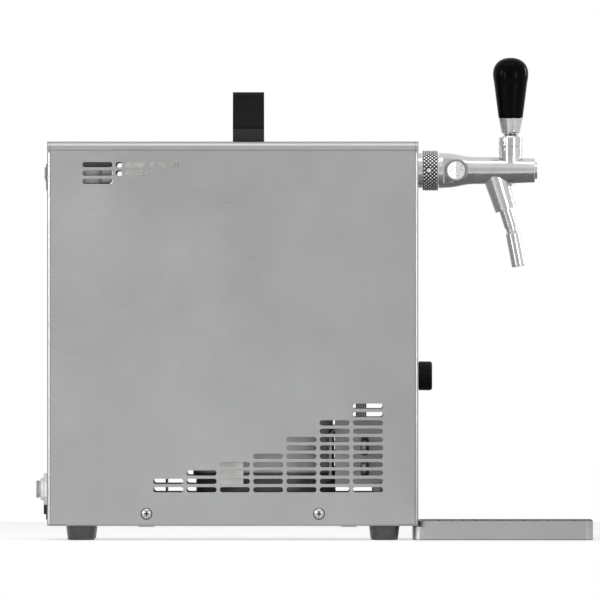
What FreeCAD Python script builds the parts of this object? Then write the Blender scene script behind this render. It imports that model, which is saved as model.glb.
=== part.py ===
import FreeCAD, Part
import math
import os
import re
import Sketcher
from FreeCAD import Rotation, Vector

# Counter-top beer cooler with a compensator tap, millimetres.
# +X is the tap side, +Y the far side, +Z up. The origin is on the table under the middle of
# the whole outline, so the cabinet's own middle is at X = Places.mid.

doc = FreeCAD.newDocument("BeerCooler")

# Driving dimensions

SIZES = {
    # cabinet
    "body_depth": 281, "body_width": 173, "body_height": 291, "sheet": 1.0,
    "cover_bend": 6.5, "panel_bend": 2.0, "cover_setback": 1.9, "cover_notch": 8.4,
    "fold": 14, "seam": 0.1, "slip": 0.3,
    "foot_height": 10.8, "foot_top": 11.5, "foot_base": 10.25,
    "foot_inset_x": 25.7, "foot_inset_y": 20,
    "side_screw_spacing": 130.6, "side_screw_height": 20.1,
    "screw_radius": 2.0, "screw_head": 3.7, "screw_head_height": 2.2,
    "side_screw_length": 8, "foot_screw_length": 8, "foot_recess": 6, "foot_recess_radius": 4.5,
    "pan_lip": 18, "cover_hem": 1.2,
    # vent slots
    "slot_length": 22.8, "slot_height": 4.0, "slot_pitch_x": 25.2, "slot_pitch_z": 6.32,
    "slot_edge": 38.1, "slot_bottom": 38.2, "slot_drop": 17.6,
    # handle
    "handle_width": 23.6, "handle_height": 37.6, "handle_span": 130, "handle_offset": 11.8,
    "handle_heel": 12, "handle_grip": 9, "handle_lean": 11, "handle_foot": 14, "handle_round": 5,
    "handle_screw_length": 9,
    # drip tray
    "tray_reach": 132.2, "tray_tuck": 4, "tray_width": 150, "tray_height": 14.7,
    "tray_corner": 6, "grid_sheet": 1.2, "grid_ledge": 4,
    "grid_slots": 12, "grid_slot_y": 34, "grid_slot_start": 13, "grid_slot_length": 56,
    "grid_slot_width": 4, "grid_slot_pitch": 9.4,
    # tap, with lengths from the front panel and radii
    "tap_drop": 21.6, "shank_radius": 7.9, "shank_bore": 3.5, "shank_length": 34,
    "flange_radius": 13.3, "flange_thick": 3.4, "shank_nose": 5.2, "coupling_radius": 11.8,
    "shank_nut_flats": 24, "shank_nut_thick": 6, "gasket_thick": 1.2, "keeper_thick": 3,
    "collar_radius": 15.2, "collar_length": 12.2, "spigot_radius": 9,
    "spanner_hole": 1.65, "spanner_reach": 8.2, "lip_radius": 10.8,
    "neck_radius": 13.5, "neck_end": 19, "shoulder_radius": 13.3, "taper_end": 44.8,
    "barrel_radius": 10.3, "barrel_end": 60, "nose_radius": 9.2, "nose_end": 88.9,
    "tail_bore": 5.4, "inlet_bore": 6.6, "seat_start": 44.3, "valve_seat": 46,
    "throat_radius": 4.2, "chamber_start": 49, "chamber_radius": 7.6,
    "cap_radius": 6.4, "cap_proud": 1.9, "cap_depth": 6, "fit": 0.05,
    "compensator_reach": 29, "compensator_flat": 9.2, "compensator_ring": 8.75,
    "ring_proud": 4, "dial_disc": 7.0, "dial_sunk": 0.8, "dial_ridge": 1.2,
    "dial_spindle": 3.5, "eccentric": 2, "eccentric_radius": 1.2, "eccentric_play": 0.2,
    "cone_rear": 17, "cone_front": 33.4, "cone_small": 4.9, "cone_large": 5.8,
    "lever_reach": 70.5, "bonnet_radius": 8.95, "bonnet_base": 11.3, "bonnet_top": 25.4,
    "bonnet_groove": 18.2, "saddle_radius": 8.35, "pivot_depth": 4, "ball_radius": 7.6,
    "ball_fit": 0.08, "spigot_height": 4.3, "neck_bore": 7.3, "neck_step": 1.6, "neck_mouth": 5.0,
    "tail_length": 15.5, "tail_ball": 1.9, "tail_radius": 1.6, "stem_radius": 3,
    "knob_thread": 16, "ferrule_gap": 2.3, "ferrule_height": 12.3, "ferrule_round": 2.5,
    "ferrule_sink": 1.5,
    "ferrule_base": 7.2, "ferrule_top": 9.2, "knob_base": 9.3, "knob_waist": 12.75,
    "knob_waist_height": 27.2, "knob_radius": 13.5, "knob_belt_height": 33.2,
    "knob_shoulder": 8, "knob_crown": 0.9, "knob_length": 45.8,
    "fork_play": 0.15, "fork_width": 5.2, "fork_floor": 3.3, "guide_back": 4.5,
    "guide_front": 8.5, "head_radius": 5.4, "head_start": 40.5, "head_end": 43,
    "plunger_stem": 2.45, "ring_groove": 6.2, "ring_groove_start": 4.5, "ring_groove_width": 2.2,
    # spout
    "spout_tilt": 17.4, "branch_top": 9.5, "branch_end": 8.1, "branch_length": 31.3,
    "branch_offset": 57.3, "nozzle_radius": 4.95, "nozzle_bore": 3.4, "nozzle_socket": 8,
    "nozzle_length": 15.4, "nozzle_neck": 1.7, "tip_radius": 4.3, "tip_bend": 20,
    "sleeve_radius": 5.3, "sleeve_start": 1.3, "sleeve_taper": 2.3, "sleeve_length": 28.8,
    "sleeve_tilt": 10.8, "nub_reach": 71.6, "nub_radius": 1.4, "nub_drop": 11.6,
    # thermostat
    "dial_height": 124.2, "dial_radius": 11, "dial_length": 10.8, "dial_gap": 0.4,
    "dial_bevel": 1.2, "dial_dish": 1.5, "spindle_radius": 3, "spindle_depth": 9,
    "thermostat_width": 34, "thermostat_height": 28, "thermostat_depth": 24, "bushing_radius": 4.9,
    # switches
    "switch_drop": 26.8, "switch_inset": 35, "bezel_height": 20, "bezel_width": 13,
    "bezel_proud": 1.3, "bezel_rim": 1.25, "bezel_cover": 0.4, "rocker_proud": 2.5,
    "rocker_half": 7.6, "rocker_tilt": 9.5, "rocker_pivot": 1.5, "rocker_play": 0.2,
    "rocker_root": 3.5, "rocker_root_half": 6.5, "housing_depth": 15, "rocker_well": 8,
    "rocker_pin": 1,
    # rear connectors
    "port_height": 38.4, "beer_inset": 31.5, "port_spacing": 37, "nut_thick": 2.8, "nut_flats": 20.5,
    "ring_radius": 8.35, "port_ring": 5.24, "collet_radius": 6.6, "port_reach": 8.4,
    "collet_flange": 1.2, "collet_neck": 6.1, "collet_bore": 4.8, "port_thread": 7.9,
    "port_depth": 16, "port_socket": 7, "port_waist": 3.2, "port_stop": 4, "lock_flats": 22,
    "lock_thick": 5, "collet_travel": 1.5,
    # mains inlet
    "inlet_inset": 44.5, "inlet_base": 14.7, "inlet_height": 24, "inlet_width": 50,
    "inlet_flange": 1.8, "inlet_proud": 3.6, "inlet_rise": 16, "inlet_mouth": 24,
    "inlet_mouth_height": 12.4, "inlet_rim": 31, "inlet_depth": 20, "inlet_well": 15,
    "inlet_body": 28, "inlet_corner": 3, "blade_gap": 7, "blade_width": 2, "blade_height": 4,
    "blade_short": 2, "blade_tail": 6,
    # compressor
    "bolt_front_gap": 52.7, "bolt_spacing": 153.5, "bolt_y": 42, "bolt_radius": 3, "bolt_head": 6.5,
    "bolt_head_height": 1.1, "bolt_length": 14, "bolt_nut_flats": 10, "bolt_nut_thick": 4,
    "compressor_reach": 115.5, "compressor_radius": 53, "can_radius": 51, "shell_wall": 3,
    "shell_base": 24, "shell_split": 51, "shell_top": 118, "shell_lip": 2.2, "lip_thick": 2,
    "shell_round": 14, "can_round": 20, "plate_thick": 2, "plate_height": 18,
    "plate_edge": 10, "pedestal_radius": 36, "pedestal_bore": 30, "grommet_radius": 8,
    "terminal_front": 17, "terminal_rear": 35, "terminal_out": 72, "terminal_in": 40,
    "terminal_base": 42, "terminal_height": 18,
    # condenser and its fans
    "condenser_reach": 40.5, "condenser_base": 42, "condenser_height": 49, "condenser_depth": 22,
    "condenser_half": 58, "fin_thick": 0.6, "fin_pitch": 4.4, "fins": 20, "fin_start": 41.8,
    "coil_radius": 3.2, "coil_rows": 5, "coil_pitch": 8.7, "coil_top": 84.4, "coil_half": 66,
    "coil_out": 19.5, "shroud_sheet": 1.5, "shroud_length": 50.5, "shroud_gap": 12.5,
    "pillar_gap": 31.1, "pillar_radius": 3.8, "fan_y": 26, "fan_radius": 22, "fan_clear": 1,
    "fan_depth": 12, "fan_hub": 9, "fan_gap": 1, "hub_wall": 1, "motor_radius": 7.6,
    "motor_depth": 11, "strut_width": 4, "blade_count": 6, "blade_pitch": 32, "blade_chord": 14,
    "blade_thick": 1.2, "fan_shaft": 1.5, "shaft_length": 8,
    # cooling block
    "block_base": 152, "block_headroom": 8.8, "block_rear_gap": 56.5, "block_front_gap": 16.5,
    "block_side_gap": 10.4, "insulation": 16, "insulation_top": 8, "shelf_sheet": 1.5,
    "shelf_side_gap": 8.4,
    "shelf_flange": 12, "stub_radius": 3.3, "stub_length": 4,
    # air pump
    "pump_reach": 33.3, "motor_can": 7.6, "pump_offset": 22, "pump_headroom": 8.8, "pump_length": 52,
    "head_reach": 36.5, "head_depth": 12, "head_drop": 13, "head_height": 9, "head_outside": 14,
    "head_inside": 10, "bracket_reach": 50.5, "bracket_wing": 18.5, "bracket_half": 10,
    "bracket_lip": 15, "bracket_drop": 25,
    # lines and wires
    "line_radius": 4.75, "line_bore": 3.2, "line_bend": 14, "beer_reach": 36.4, "line_top": 215,
    "air_reach": 42.5, "pipe_radius": 2.4, "pipe_bend": 6, "pipe_out": 17, "pipe_low": 27,
    "discharge_height": 44, "suction_height": 66, "suction_radius": 3.6, "drier_radius": 8,
    "drier_length": 52, "drier_y": 62, "drier_back": 45, "drier_cone": 6, "capillary_radius": 1,
    "capillary_rise": 75, "capillary_y": 40, "capillary_back": 105, "capillary_bend": 5,
    "bulb_x": 9, "bulb_height": 205, "harness_reach": 43, "harness_side_gap": 5.8, "wires": 5,
    "wire_radius": 0.8, "wire_pitch": 1.65, "wire_bend": 5, "harness_headroom": 8.1,
    "harness_back": 20.5, "clip_half": 4.5, "clip_thick": 3,
}

sheet = doc.addObject("Spreadsheet::Sheet", "Sizes")
for row, (alias, value) in enumerate(SIZES.items(), start=1):
    sheet.set(f"A{row}", alias)
    sheet.set(f"B{row}", str(value))
    sheet.setAlias(f"B{row}", alias)

# Places worked out from the driving dimensions

PLACES = {
    "mid": "(port_reach - tray_reach) / 2",
    "front": "mid + body_depth / 2",
    "rear": "mid - body_depth / 2",
    "floor": "foot_height",
    "top": "foot_height + body_height",
    "side": "body_width / 2",
    "inner_side": "side - sheet - seam",
    "tap_z": "top - tap_drop",
    "lever_x": "front + lever_reach",
    "pivot_z": "tap_z + bonnet_top - pivot_depth",
    "ferrule_z": "pivot_z + pivot_depth + ferrule_gap",
    "knob_z": "ferrule_z + ferrule_height",
    "branch_x": "front + branch_offset",
    "spout_x": "branch_x + branch_length * sin(spout_tilt)",
    "spout_z": "tap_z - branch_length * cos(spout_tilt)",
    "knee_x": "spout_x + nozzle_length * sin(spout_tilt)",
    "knee_z": "spout_z - nozzle_length * cos(spout_tilt)",
    "tail_start": "flange_thick + shank_nose + gasket_thick",
    "bore_fit": "ball_radius + ball_fit",
    "dial_x": "front + compensator_reach",
    "tray_back": "front - tray_tuck",
    "tray_front": "front + tray_reach",
    "ledge_z": "floor - 2 * slip",
    "grid_z": "tray_height - grid_sheet - slip",
    "compressor_mid": "front - compressor_reach",
    "coil_x": "front - condenser_reach",
    "shroud_x": "coil_x + condenser_depth / 2 + slip",
    "shroud_front": "front - shroud_gap",
    "shroud_rear": "shroud_front - shroud_length",
    "pillar_x": "front - pillar_gap",
    "bolt_front": "front - bolt_front_gap",
    "bolt_rear": "bolt_front - bolt_spacing",
    "drier_x": "compressor_mid - drier_back",
    "capillary_x": "compressor_mid - capillary_rise",
    "capillary_turn": "compressor_mid - capillary_back",
    "frame_x": "shroud_x + shroud_sheet",
    "fan_z": "condenser_base + condenser_height / 2",
    "condenser_top": "condenser_base + condenser_height",
    "turn_x": "compressor_mid + (compressor_radius + pipe_out) * cos(45)",
    "turn_y": "(compressor_radius + pipe_out) * sin(45)",
    "line_end": "rear + port_depth - port_socket",
    "core_z": "block_base + insulation",
    "bulb_at": "front - bulb_x",
    "block_rear": "rear + block_rear_gap",
    "block_front": "front - block_front_gap",
    "block_half": "inner_side - block_side_gap",
    "block_top": "top - sheet - block_headroom",
    "shelf_half": "inner_side - shelf_side_gap",
    "beer_y": "side - beer_inset",
    "air_y": "beer_y - port_spacing",
    "inlet_y": "side - inlet_inset",
    "switch_y": "beer_y - switch_inset",
    "switch_height": "top - switch_drop",
    "beer_rise": "rear + beer_reach",
    "air_rise": "rear + air_reach",
    "pump_mid": "rear + pump_reach",
    "pump_y": "air_y + pump_offset",
    "pump_top": "top - pump_headroom",
    "pump_base": "pump_top - pump_length",
    "head_rear": "rear + head_reach",
    "head_front": "head_rear + head_depth",
    "head_top": "pump_top - head_drop",
    "head_base": "head_top - head_height",
    "head_near": "air_y + head_outside",
    "head_far": "air_y - head_inside",
    "bracket_front": "rear + bracket_reach",
    "bracket_rear": "rear + bracket_wing",
    "bracket_near": "pump_y + bracket_half",
    "bracket_middle": "pump_y - bracket_half",
    "harness_x": "front - harness_reach",
    "harness_y": "inner_side - harness_side_gap",
    "harness_top": "top - harness_headroom",
    "harness_turn": "rear + harness_back",
    "pan_top": "floor + sheet",
    "grid_front": "tray_front - sheet - slip",
    "grid_back": "front + sheet + 2 * slip",
}

places = doc.addObject("Spreadsheet::Sheet", "Places")
def full(expression, inside=False):
    """The expression with each plain name led to the sheet that holds it."""

    def lead(match):
        word = match.group(0)
        if word in SIZES:
            return f"Sizes.{word}"
        return f"Places.{word}" if word in PLACES and not inside else word

    return re.sub(r"[A-Za-z_]\w*", lead, str(expression))


for row, (alias, formula) in enumerate(PLACES.items(), start=1):
    places.set(f"A{row}", alias)
    places.set(f"B{row}", "=" + full(formula, inside=True))
    places.setAlias(f"B{row}", alias)
doc.recompute()


def value(expression):
    """The number that an expression of sheet names gives now."""
    return float(sheet.evalExpression(full(expression)))


# Helpers: every size and place below is an expression of sheet names

TURN = {
    "x": Rotation(Vector(0, 1, 0), 90),
    "-x": Rotation(Vector(0, 1, 0), -90),
    "y": Rotation(Vector(1, 0, 0), -90),
    "-y": Rotation(Vector(1, 0, 0), 90),
    "z": Rotation(),
    "-z": Rotation(Vector(1, 0, 0), 180),
    "back": Rotation(Vector(0, 0, 1), 180),
    "left": Rotation(Vector(0, 0, 1), 90),
}


def put(item, at, way="z"):
    """Place an object at a point of three expressions, its Z led along a way.

    A way is a name, a rotation, or an expression for an angle from up towards the front.
    """
    named = isinstance(way, str)
    tilted = named and way not in TURN
    if tilted:
        rotation = Rotation(Vector(0, 1, 0), value(way))
    else:
        rotation = TURN[way] if named else way
    item.Placement = FreeCAD.Placement(Vector(), rotation)
    if tilted:
        item.setExpression("Placement.Rotation.Angle", full(way))
    for axis, expression in zip("xyz", at):
        item.setExpression(f"Placement.Base.{axis}", full(expression))
    return item


def block(name, x, y, z):
    """A box between two expressions along each axis."""
    item = doc.addObject("Part::Box", name)
    for side, (low, high) in zip(("Length", "Width", "Height"), (x, y, z)):
        item.setExpression(side, full(f"({high}) - ({low})"))
    return put(item, (x[0], y[0], z[0]))


def rod(name, radius, length, at, way="z"):
    """A cylinder from a point along a named way."""
    item = doc.addObject("Part::Cylinder", name)
    item.setExpression("Radius", full(radius))
    item.setExpression("Height", full(length))
    return put(item, at, way)


def cone(name, radius, end_radius, length, at, way="z"):
    """A cone from a point along a named way."""
    item = doc.addObject("Part::Cone", name)
    item.setExpression("Radius1", full(radius))
    item.setExpression("Radius2", full(end_radius))
    item.setExpression("Height", full(length))
    return put(item, at, way)


def fuse(name, *items):
    item = doc.addObject("Part::MultiFuse", name)
    item.Shapes = list(items)
    item.Refine = True
    return item


def gather(name, *items):
    item = doc.addObject("Part::Compound", name)
    item.Links = list(items)
    return item


def cut(name, base, *tools):
    item = doc.addObject("Part::Cut", name)
    item.Base = base
    item.Tool = tools[0] if len(tools) == 1 else fuse(f"{name}_cutters", *tools)
    item.Refine = True
    return item


def keep(name, base, tool):
    item = doc.addObject("Part::Common", name)
    item.Base = base
    item.Tool = tool
    return item


def copy(name, item, at, way="z"):
    """A linked copy of an object, led to a place."""
    link = doc.addObject("App::Link", name)
    link.LinkedObject = item
    link.LinkTransform = True
    return put(link, at, way)


def outline(sketch, points):
    """Closed outline through (u, v) or (u, v, radius): a radius makes the next side an arc.

    The points run anticlockwise, so a positive radius bulges outwards and a negative one inwards.
    """
    spots = [Vector(value(p[0]), value(p[1]), 0) for p in points]
    first = sketch.GeometryCount
    count = len(points)
    for i, point in enumerate(points):
        start, end = spots[i], spots[(i + 1) % count]
        if len(point) == 2:
            sketch.addGeometry(Part.LineSegment(start, end))
            continue
        radius = value(point[2])
        half = (end - start) / 2
        right = Vector(half.y, -half.x, 0).normalize() * math.copysign(1, radius)
        middle = start + half - right * math.sqrt(max(radius**2 - half.Length**2, 0))
        swing = [math.atan2((p - middle).y, (p - middle).x) for p in (start, end)]
        if radius < 0:
            swing.reverse()
        circle = Part.Circle(middle, Vector(0, 0, 1), abs(radius))
        sketch.addGeometry(Part.ArcOfCircle(circle, swing[0], swing[1]))
    for i, point in enumerate(points):
        edge, last = first + i, first + (i - 1) % count
        start_pos = arc_end(sketch.Geometry[edge], spots[i])
        end_pos = arc_end(sketch.Geometry[last], spots[i])
        sketch.addConstraint(Sketcher.Constraint("Coincident", last, end_pos, edge, start_pos))
        for kind, expression in zip(("DistanceX", "DistanceY"), point):
            size = value(expression)
            row = sketch.addConstraint(Sketcher.Constraint(kind, -1, 1, edge, start_pos, size))
            sketch.setExpression(f"Constraints[{row}]", full(expression))
        if len(point) == 3:
            row = sketch.addConstraint(Sketcher.Constraint("Radius", edge, abs(value(point[2]))))
            sketch.setExpression(f"Constraints[{row}]", full(f"abs({point[2]})"))


def arc_end(edge, spot):
    """Sketcher's number for the end of an edge that lies at a point."""
    return 1 if (edge.StartPoint - spot).Length < (edge.EndPoint - spot).Length else 2


def sketch_on(body, name, role, points):
    doc.recompute()
    sketch = body.newObject("Sketcher::SketchObject", name)
    plane = [f for f in body.Origin.OriginFeatures if f.Role == role][0]
    sketch.AttachmentSupport = [(plane, "")]
    sketch.MapMode = "FlatFace"
    doc.recompute()
    for loop in points if isinstance(points[0], list) else [points]:
        outline(sketch, loop)
    return sketch


def turned(name, points, at, way="z"):
    """A body turned about its own Z from (radius, height) points, then led along a way."""
    body = doc.addObject("PartDesign::Body", name)
    sketch = sketch_on(body, f"{name}_profile", "XZ_Plane", points)
    turn = body.newObject("PartDesign::Revolution", f"{name}_turn")
    turn.Profile = sketch
    turn.ReferenceAxis = (sketch, ["V_Axis"])
    turn.Angle = 360
    return put(body, at, way)


def padded(name, role, points, length, at=("0", "0", "0"), way="z"):
    """A body padded evenly both ways from an outline on one of its own planes."""
    body = doc.addObject("PartDesign::Body", name)
    pad = body.newObject("PartDesign::Pad", f"{name}_pad")
    pad.Profile = sketch_on(body, f"{name}_outline", role, points)
    pad.Midplane = True
    pad.setExpression("Length", full(length))
    return put(body, at, way)


def rounded(low_u, high_u, low_v, high_v, corner):
    """Points of a rectangle with round corners, run anticlockwise."""
    return [
        (low_u, f"{low_v} + {corner}", corner), (f"{low_u} + {corner}", low_v),
        (f"{high_u} - ({corner})", low_v, corner), (high_u, f"{low_v} + {corner}"),
        (high_u, f"{high_v} - ({corner})", corner), (f"{high_u} - ({corner})", high_v),
        (f"{low_u} + {corner}", high_v, corner), (low_u, f"{high_v} - ({corner})"),
    ]


def stadium(low_u, high_u, low_v, high_v):
    """Points of a slot with round ends, run anticlockwise."""
    corner = f"(({high_v}) - ({low_v})) / 2"
    middle, near, far = f"{low_v} + {corner}", f"{low_u} + {corner}", f"{high_u} - {corner}"
    return [
        (low_u, middle, corner), (near, low_v), (far, low_v, corner),
        (high_u, middle, corner), (far, high_v), (near, high_v, corner),
    ]


def tube_path(points, radius):
    """A wire of straight runs through points, joined by arcs of one radius."""
    edges, start = [], points[0]
    for before, corner, after in zip(points, points[1:], points[2:]):
        back = (before - corner).normalize()
        ahead = (after - corner).normalize()
        half = back.getAngle(ahead) / 2
        reach = radius / math.tan(half)
        middle = corner + (back + ahead).normalize() * (radius / math.sin(half) - radius)
        enter, leave = corner + back * reach, corner + ahead * reach
        if (enter - start).Length > 1e-6:
            edges.append(Part.LineSegment(start, enter).toShape())
        edges.append(Part.Arc(enter, middle, leave).toShape())
        start = leave
    edges.append(Part.LineSegment(start, points[-1]).toShape())
    return Part.Wire(edges)


def swept(name, route, radius, bend, bore=None):
    """A tube along a route of points, each of three expressions."""
    points = [Vector(*(value(e) for e in point)) for point in route]
    path = tube_path(points, value(bend))
    way = points[1] - points[0]

    def pipe(size):
        ring = Part.Wire(Part.makeCircle(size, points[0], way))
        return path.makePipeShell([ring], True, False)

    shape = pipe(value(radius))
    if bore:
        shape = shape.cut(pipe(value(bore)))
    item = doc.addObject("Part::Feature", name)
    item.Shape = shape.Solids[0]
    return item


NODES = {}


def node(name, item):
    """Name an object as a piece of the product."""
    item.Label = name
    NODES[name] = item
    return item


# Fasteners


def pan_screw(name, radius, head, head_height, length):
    """A cross-recess screw: its seat at its own Z = 0, its head above, its thread below."""
    blank = turned(f"{name}_blank", [
        ("0", f"-({length})"), (f"{radius} - 0.4", f"-({length})"), (radius, f"0.6 - ({length})"),
        (radius, "0"), (head, "0"), (head, f"{head_height} * 0.35", f"{head} * 1.1"),
        (f"{head} * 0.35", f"{head_height} * 0.97", f"{head} * 3"), ("0", head_height),
    ], ("0", "0", "0"))
    arm, wide, deep = f"{head} * 0.5", f"{head} * 0.13", f"{head_height} * 0.4"
    across = block(f"{name}_slot", (f"-{arm}", arm), (f"-{wide}", wide), (deep, f"{head_height} + 1"))
    along = block(f"{name}_cross", (f"-{wide}", wide), (f"-{arm}", arm), (deep, f"{head_height} + 1"))
    return cut(name, blank, across, along)


def hex_nut(name, flats, length, bore, start=30):
    """A hexagon nut from its own Z = 0 upwards, its first point at an angle from its own +X."""
    sides = [
        (f"{flats} / sqrt(3) * cos({angle})", f"{flats} / sqrt(3) * sin({angle})")
        for angle in range(start, start + 360, 60)
    ]
    body = padded(f"{name}_blank", "XY_Plane", sides, length, ("0", "0", f"({length}) / 2"))
    return cut(name, body, rod(f"{name}_bore", bore, f"({length}) + 2", ("0", "0", "-1")))


# Cabinet

FOOT_PLACES = [
    (f"mid {sx} (body_depth / 2 - foot_inset_x)", f"{sy}(side - foot_inset_y)")
    for sx in "+-" for sy in ("", "-")
]
PLATE_BOLTS = [(x, y) for x in ("bolt_front", "bolt_rear") for y in ("bolt_y", "-bolt_y")]
SIDE_SCREW_X = ["mid - side_screw_spacing / 2", "mid + side_screw_spacing / 2"]
HANDLE_SCREWS = [("mid + handle_offset", f"{sy}(handle_span / 2 - handle_foot / 2)") for sy in ("", "-")]
# Slots in each column, from the front backwards below and from the rear forwards above
LOWER_VENTS = [11, 9, 7, 5, 4, 3, 2]
UPPER_VENTS = [3, 2, 1]


def channel(half, base, height, thick, bend):
    """Outline of a bent U of sheet, open upwards, run anticlockwise."""
    inner, rim = f"({bend}) - {thick}", f"{base} + {height}"
    return [
        (f"-({half})", f"{base} + {bend}", bend), (f"{bend} - ({half})", base),
        (f"{half} - {bend}", base, bend), (half, f"{base} + {bend}"), (half, rim),
        (f"{half} - {thick}", rim), (f"{half} - {thick}", f"{base} + {bend}", f"-({inner})"),
        (f"{half} - {bend}", f"{base} + {thick}"),
        (f"{bend} - ({half})", f"{base} + {thick}", f"-({inner})"),
        (f"{thick} - ({half})", f"{base} + {bend}"), (f"{thick} - ({half})", rim),
        (f"-({half})", rim),
    ]


def base_pan():
    tub = padded("pan_sheet", "YZ_Plane",
                 channel("inner_side", "floor", "pan_lip", "sheet", "panel_bend"),
                 "body_depth - 2 * fold - 4 * seam", ("mid", "0", "0"))
    ends = [
        block(f"pan_end_{end}", x, ("panel_bend - inner_side", "inner_side - panel_bend"),
              ("floor", "floor + sheet"))
        for end, x in (("front", ("front - fold - 1", "front")), ("rear", ("rear", "rear + fold + 1")))
    ]
    holes = [
        rod(f"pan_foot_hole_{i}", "screw_radius", "sheet + 2", (x, y, "floor - 1"))
        for i, (x, y) in enumerate(FOOT_PLACES)
    ]
    holes += [
        rod(f"pan_bolt_hole_{i}", "bolt_radius + seam", "sheet + 2", (x, y, "floor - 1"))
        for i, (x, y) in enumerate(PLATE_BOLTS)
    ]
    holes += [
        rod(f"pan_side_hole_{i}", "screw_radius + seam / 2", "body_width + 2",
            (x, "-side - 1", "side_screw_height"), "y")
        for i, x in enumerate(SIDE_SCREW_X)
    ]
    return node("base_pan", cut("pan", fuse("pan_blank", tub, *ends), *holes))


def end_panel(name, face, way, holes):
    """A front or rear panel: its own +X is outwards, its outer face at its own X = 0."""
    height = "body_height - 2 * sheet - 2 * seam"
    middle = "floor + body_height / 2"
    web = padded(f"{name}_sheet", "XY_Plane",
                 channel("inner_side", "0", "fold", "sheet", "panel_bend"),
                 height, ("0", "0", middle), "left")
    width = ("panel_bend - inner_side", "inner_side - panel_bend")
    low, high = "floor + sheet + seam", "top - sheet - seam"
    lips = [
        block(f"{name}_lip_low", ("-fold", "-sheet / 2"), width, (low, f"{low} + sheet")),
        block(f"{name}_lip_high", ("-fold", "-sheet / 2"), width, (f"{high} - sheet", high)),
    ]
    blank = fuse(f"{name}_blank", web, *lips)
    corner, edge = "(cover_bend - sheet - seam)", "inner_side"
    shape = padded(f"{name}_outline", "YZ_Plane", [
        (f"-{edge}", "floor"), (edge, "floor"), (edge, f"top - sheet - seam - {corner}", corner),
        (f"{edge} - {corner}", "top - sheet - seam"),
        (f"{corner} - {edge}", "top - sheet - seam", corner),
        (f"-{edge}", f"top - sheet - seam - {corner}"),
    ], "3 * fold")
    pierced = cut(f"{name}_pierced", keep(f"{name}_trimmed", blank, shape), *holes)
    return node(name, put(gather(f"{name}_set", pierced), (face, "0", "0"), way))


def through(name, radius, y, z):
    """A round hole cutter through a panel at a place on its face."""
    return rod(name, radius, "6", ("-4", y, z), "x")


def wrapper_cover():
    bent = padded("cover_sheet", "YZ_Plane",
                  channel("side", "0", "body_height - cover_hem", "sheet", "cover_bend"),
                  "body_depth", ("mid", "0", "top"), "-z")
    across = ("-side - 1", "side + 1")
    ends = [
        block(f"cover_end_{end}", x, across, ("0", "top - cover_notch"))
        for end, x in (("front", ("front - cover_setback", "front + 1")),
                       ("rear", ("rear - 1", "rear + cover_setback")))
    ]
    slot = padded("vent_slot", "XZ_Plane",
                  stadium("-slot_length / 2", "slot_length / 2", "-slot_height / 2", "slot_height / 2"),
                  "body_width + 2")
    vents = [
        copy(f"lower_vent_{i}_{j}", slot,
             (f"front - slot_edge - {i} * slot_pitch_x", "0", f"slot_bottom + {j} * slot_pitch_z"))
        for i, count in enumerate(LOWER_VENTS) for j in range(count)
    ]
    vents += [
        copy(f"upper_vent_{i}_{j}", slot,
             (f"rear + slot_edge + {i} * slot_pitch_x", "0", f"top - slot_drop - {j} * slot_pitch_z"))
        for i, count in enumerate(UPPER_VENTS) for j in range(count)
    ]
    holes = [
        rod(f"cover_side_hole_{i}", "screw_radius + seam", "body_width + 2",
            (x, "-side - 1", "side_screw_height"), "y")
        for i, x in enumerate(SIDE_SCREW_X)
    ]
    holes += [
        rod(f"cover_handle_hole_{i}", "screw_radius + seam", "sheet + 2", (x, y, "top - sheet - 1"))
        for i, (x, y) in enumerate(HANDLE_SCREWS)
    ]
    trimmed = cut("cover_trimmed", bent, *ends, *holes)
    return node("wrapper_cover", cut("cover", trimmed, gather("vents", *vents)))


def cabinet_fasteners():
    foot = turned("foot", [
        ("screw_radius + seam", "foot_recess"), ("foot_recess_radius", "foot_recess"),
        ("foot_recess_radius", "0"), ("foot_base - 1", "0", "1"), ("foot_base", "1"),
        ("foot_top", "foot_height"), ("screw_radius + seam", "foot_height"),
    ], ("0", "0", "0"))
    node("rubber_feet", gather("feet", *[
        copy(f"foot_{i}", foot, (x, y, "0")) for i, (x, y) in enumerate(FOOT_PLACES)]))
    screws = []
    for name, seats in (
        ("side", [(x, f"{sign}side", "side_screw_height", way) for x in SIDE_SCREW_X
                  for way, sign in (("y", ""), ("-y", "-"))]),
        ("foot", [(x, y, "foot_recess", "-z") for x, y in FOOT_PLACES]),
        ("handle", [(x, y, "top - sheet", "-z") for x, y in HANDLE_SCREWS]),
    ):
        screw = pan_screw(f"{name}_screw", "screw_radius", "screw_head", "screw_head_height",
                          f"{name}_screw_length")
        screws += [copy(f"{name}_screw_{i}", screw, seat[:3], seat[3]) for i, seat in enumerate(seats)]
    node("cabinet_screws", gather("screw_set", *screws))


def carry_handle():
    end, crest = "handle_span / 2", "handle_height - handle_round"
    lean, foot, under = "handle_lean", "handle_foot", "handle_height - handle_grip"
    arch = padded("handle_arch", "YZ_Plane", [
        (f"-{end}", "0"), (f"{foot} - {end}", "0"),
        (f"{foot} + {lean} - {end}", f"{under} - handle_round", "-handle_round"),
        (f"{foot} + {lean} + handle_round - {end}", under),
        (f"{end} - {foot} - {lean} - handle_round", under, "-handle_round"),
        (f"{end} - {foot} - {lean}", f"{under} - handle_round"),
        (f"{end} - {foot}", "0"), (end, "0"), (end, "handle_heel"),
        (f"{end} - {lean}", crest, "handle_round"), (f"{end} - {lean} - handle_round", "handle_height"),
        (f"{lean} + handle_round - {end}", "handle_height", "handle_round"),
        (f"{lean} - {end}", crest), (f"-{end}", "handle_heel"),
    ], "handle_width", ("mid + handle_offset", "0", "top"))
    pilots = [
        rod(f"handle_pilot_{i}", "screw_radius", "handle_heel", (x, y, "top - 1"))
        for i, (x, y) in enumerate(HANDLE_SCREWS)
    ]
    return node("carry_handle", cut("handle", arch, *pilots))


# Tap


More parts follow.
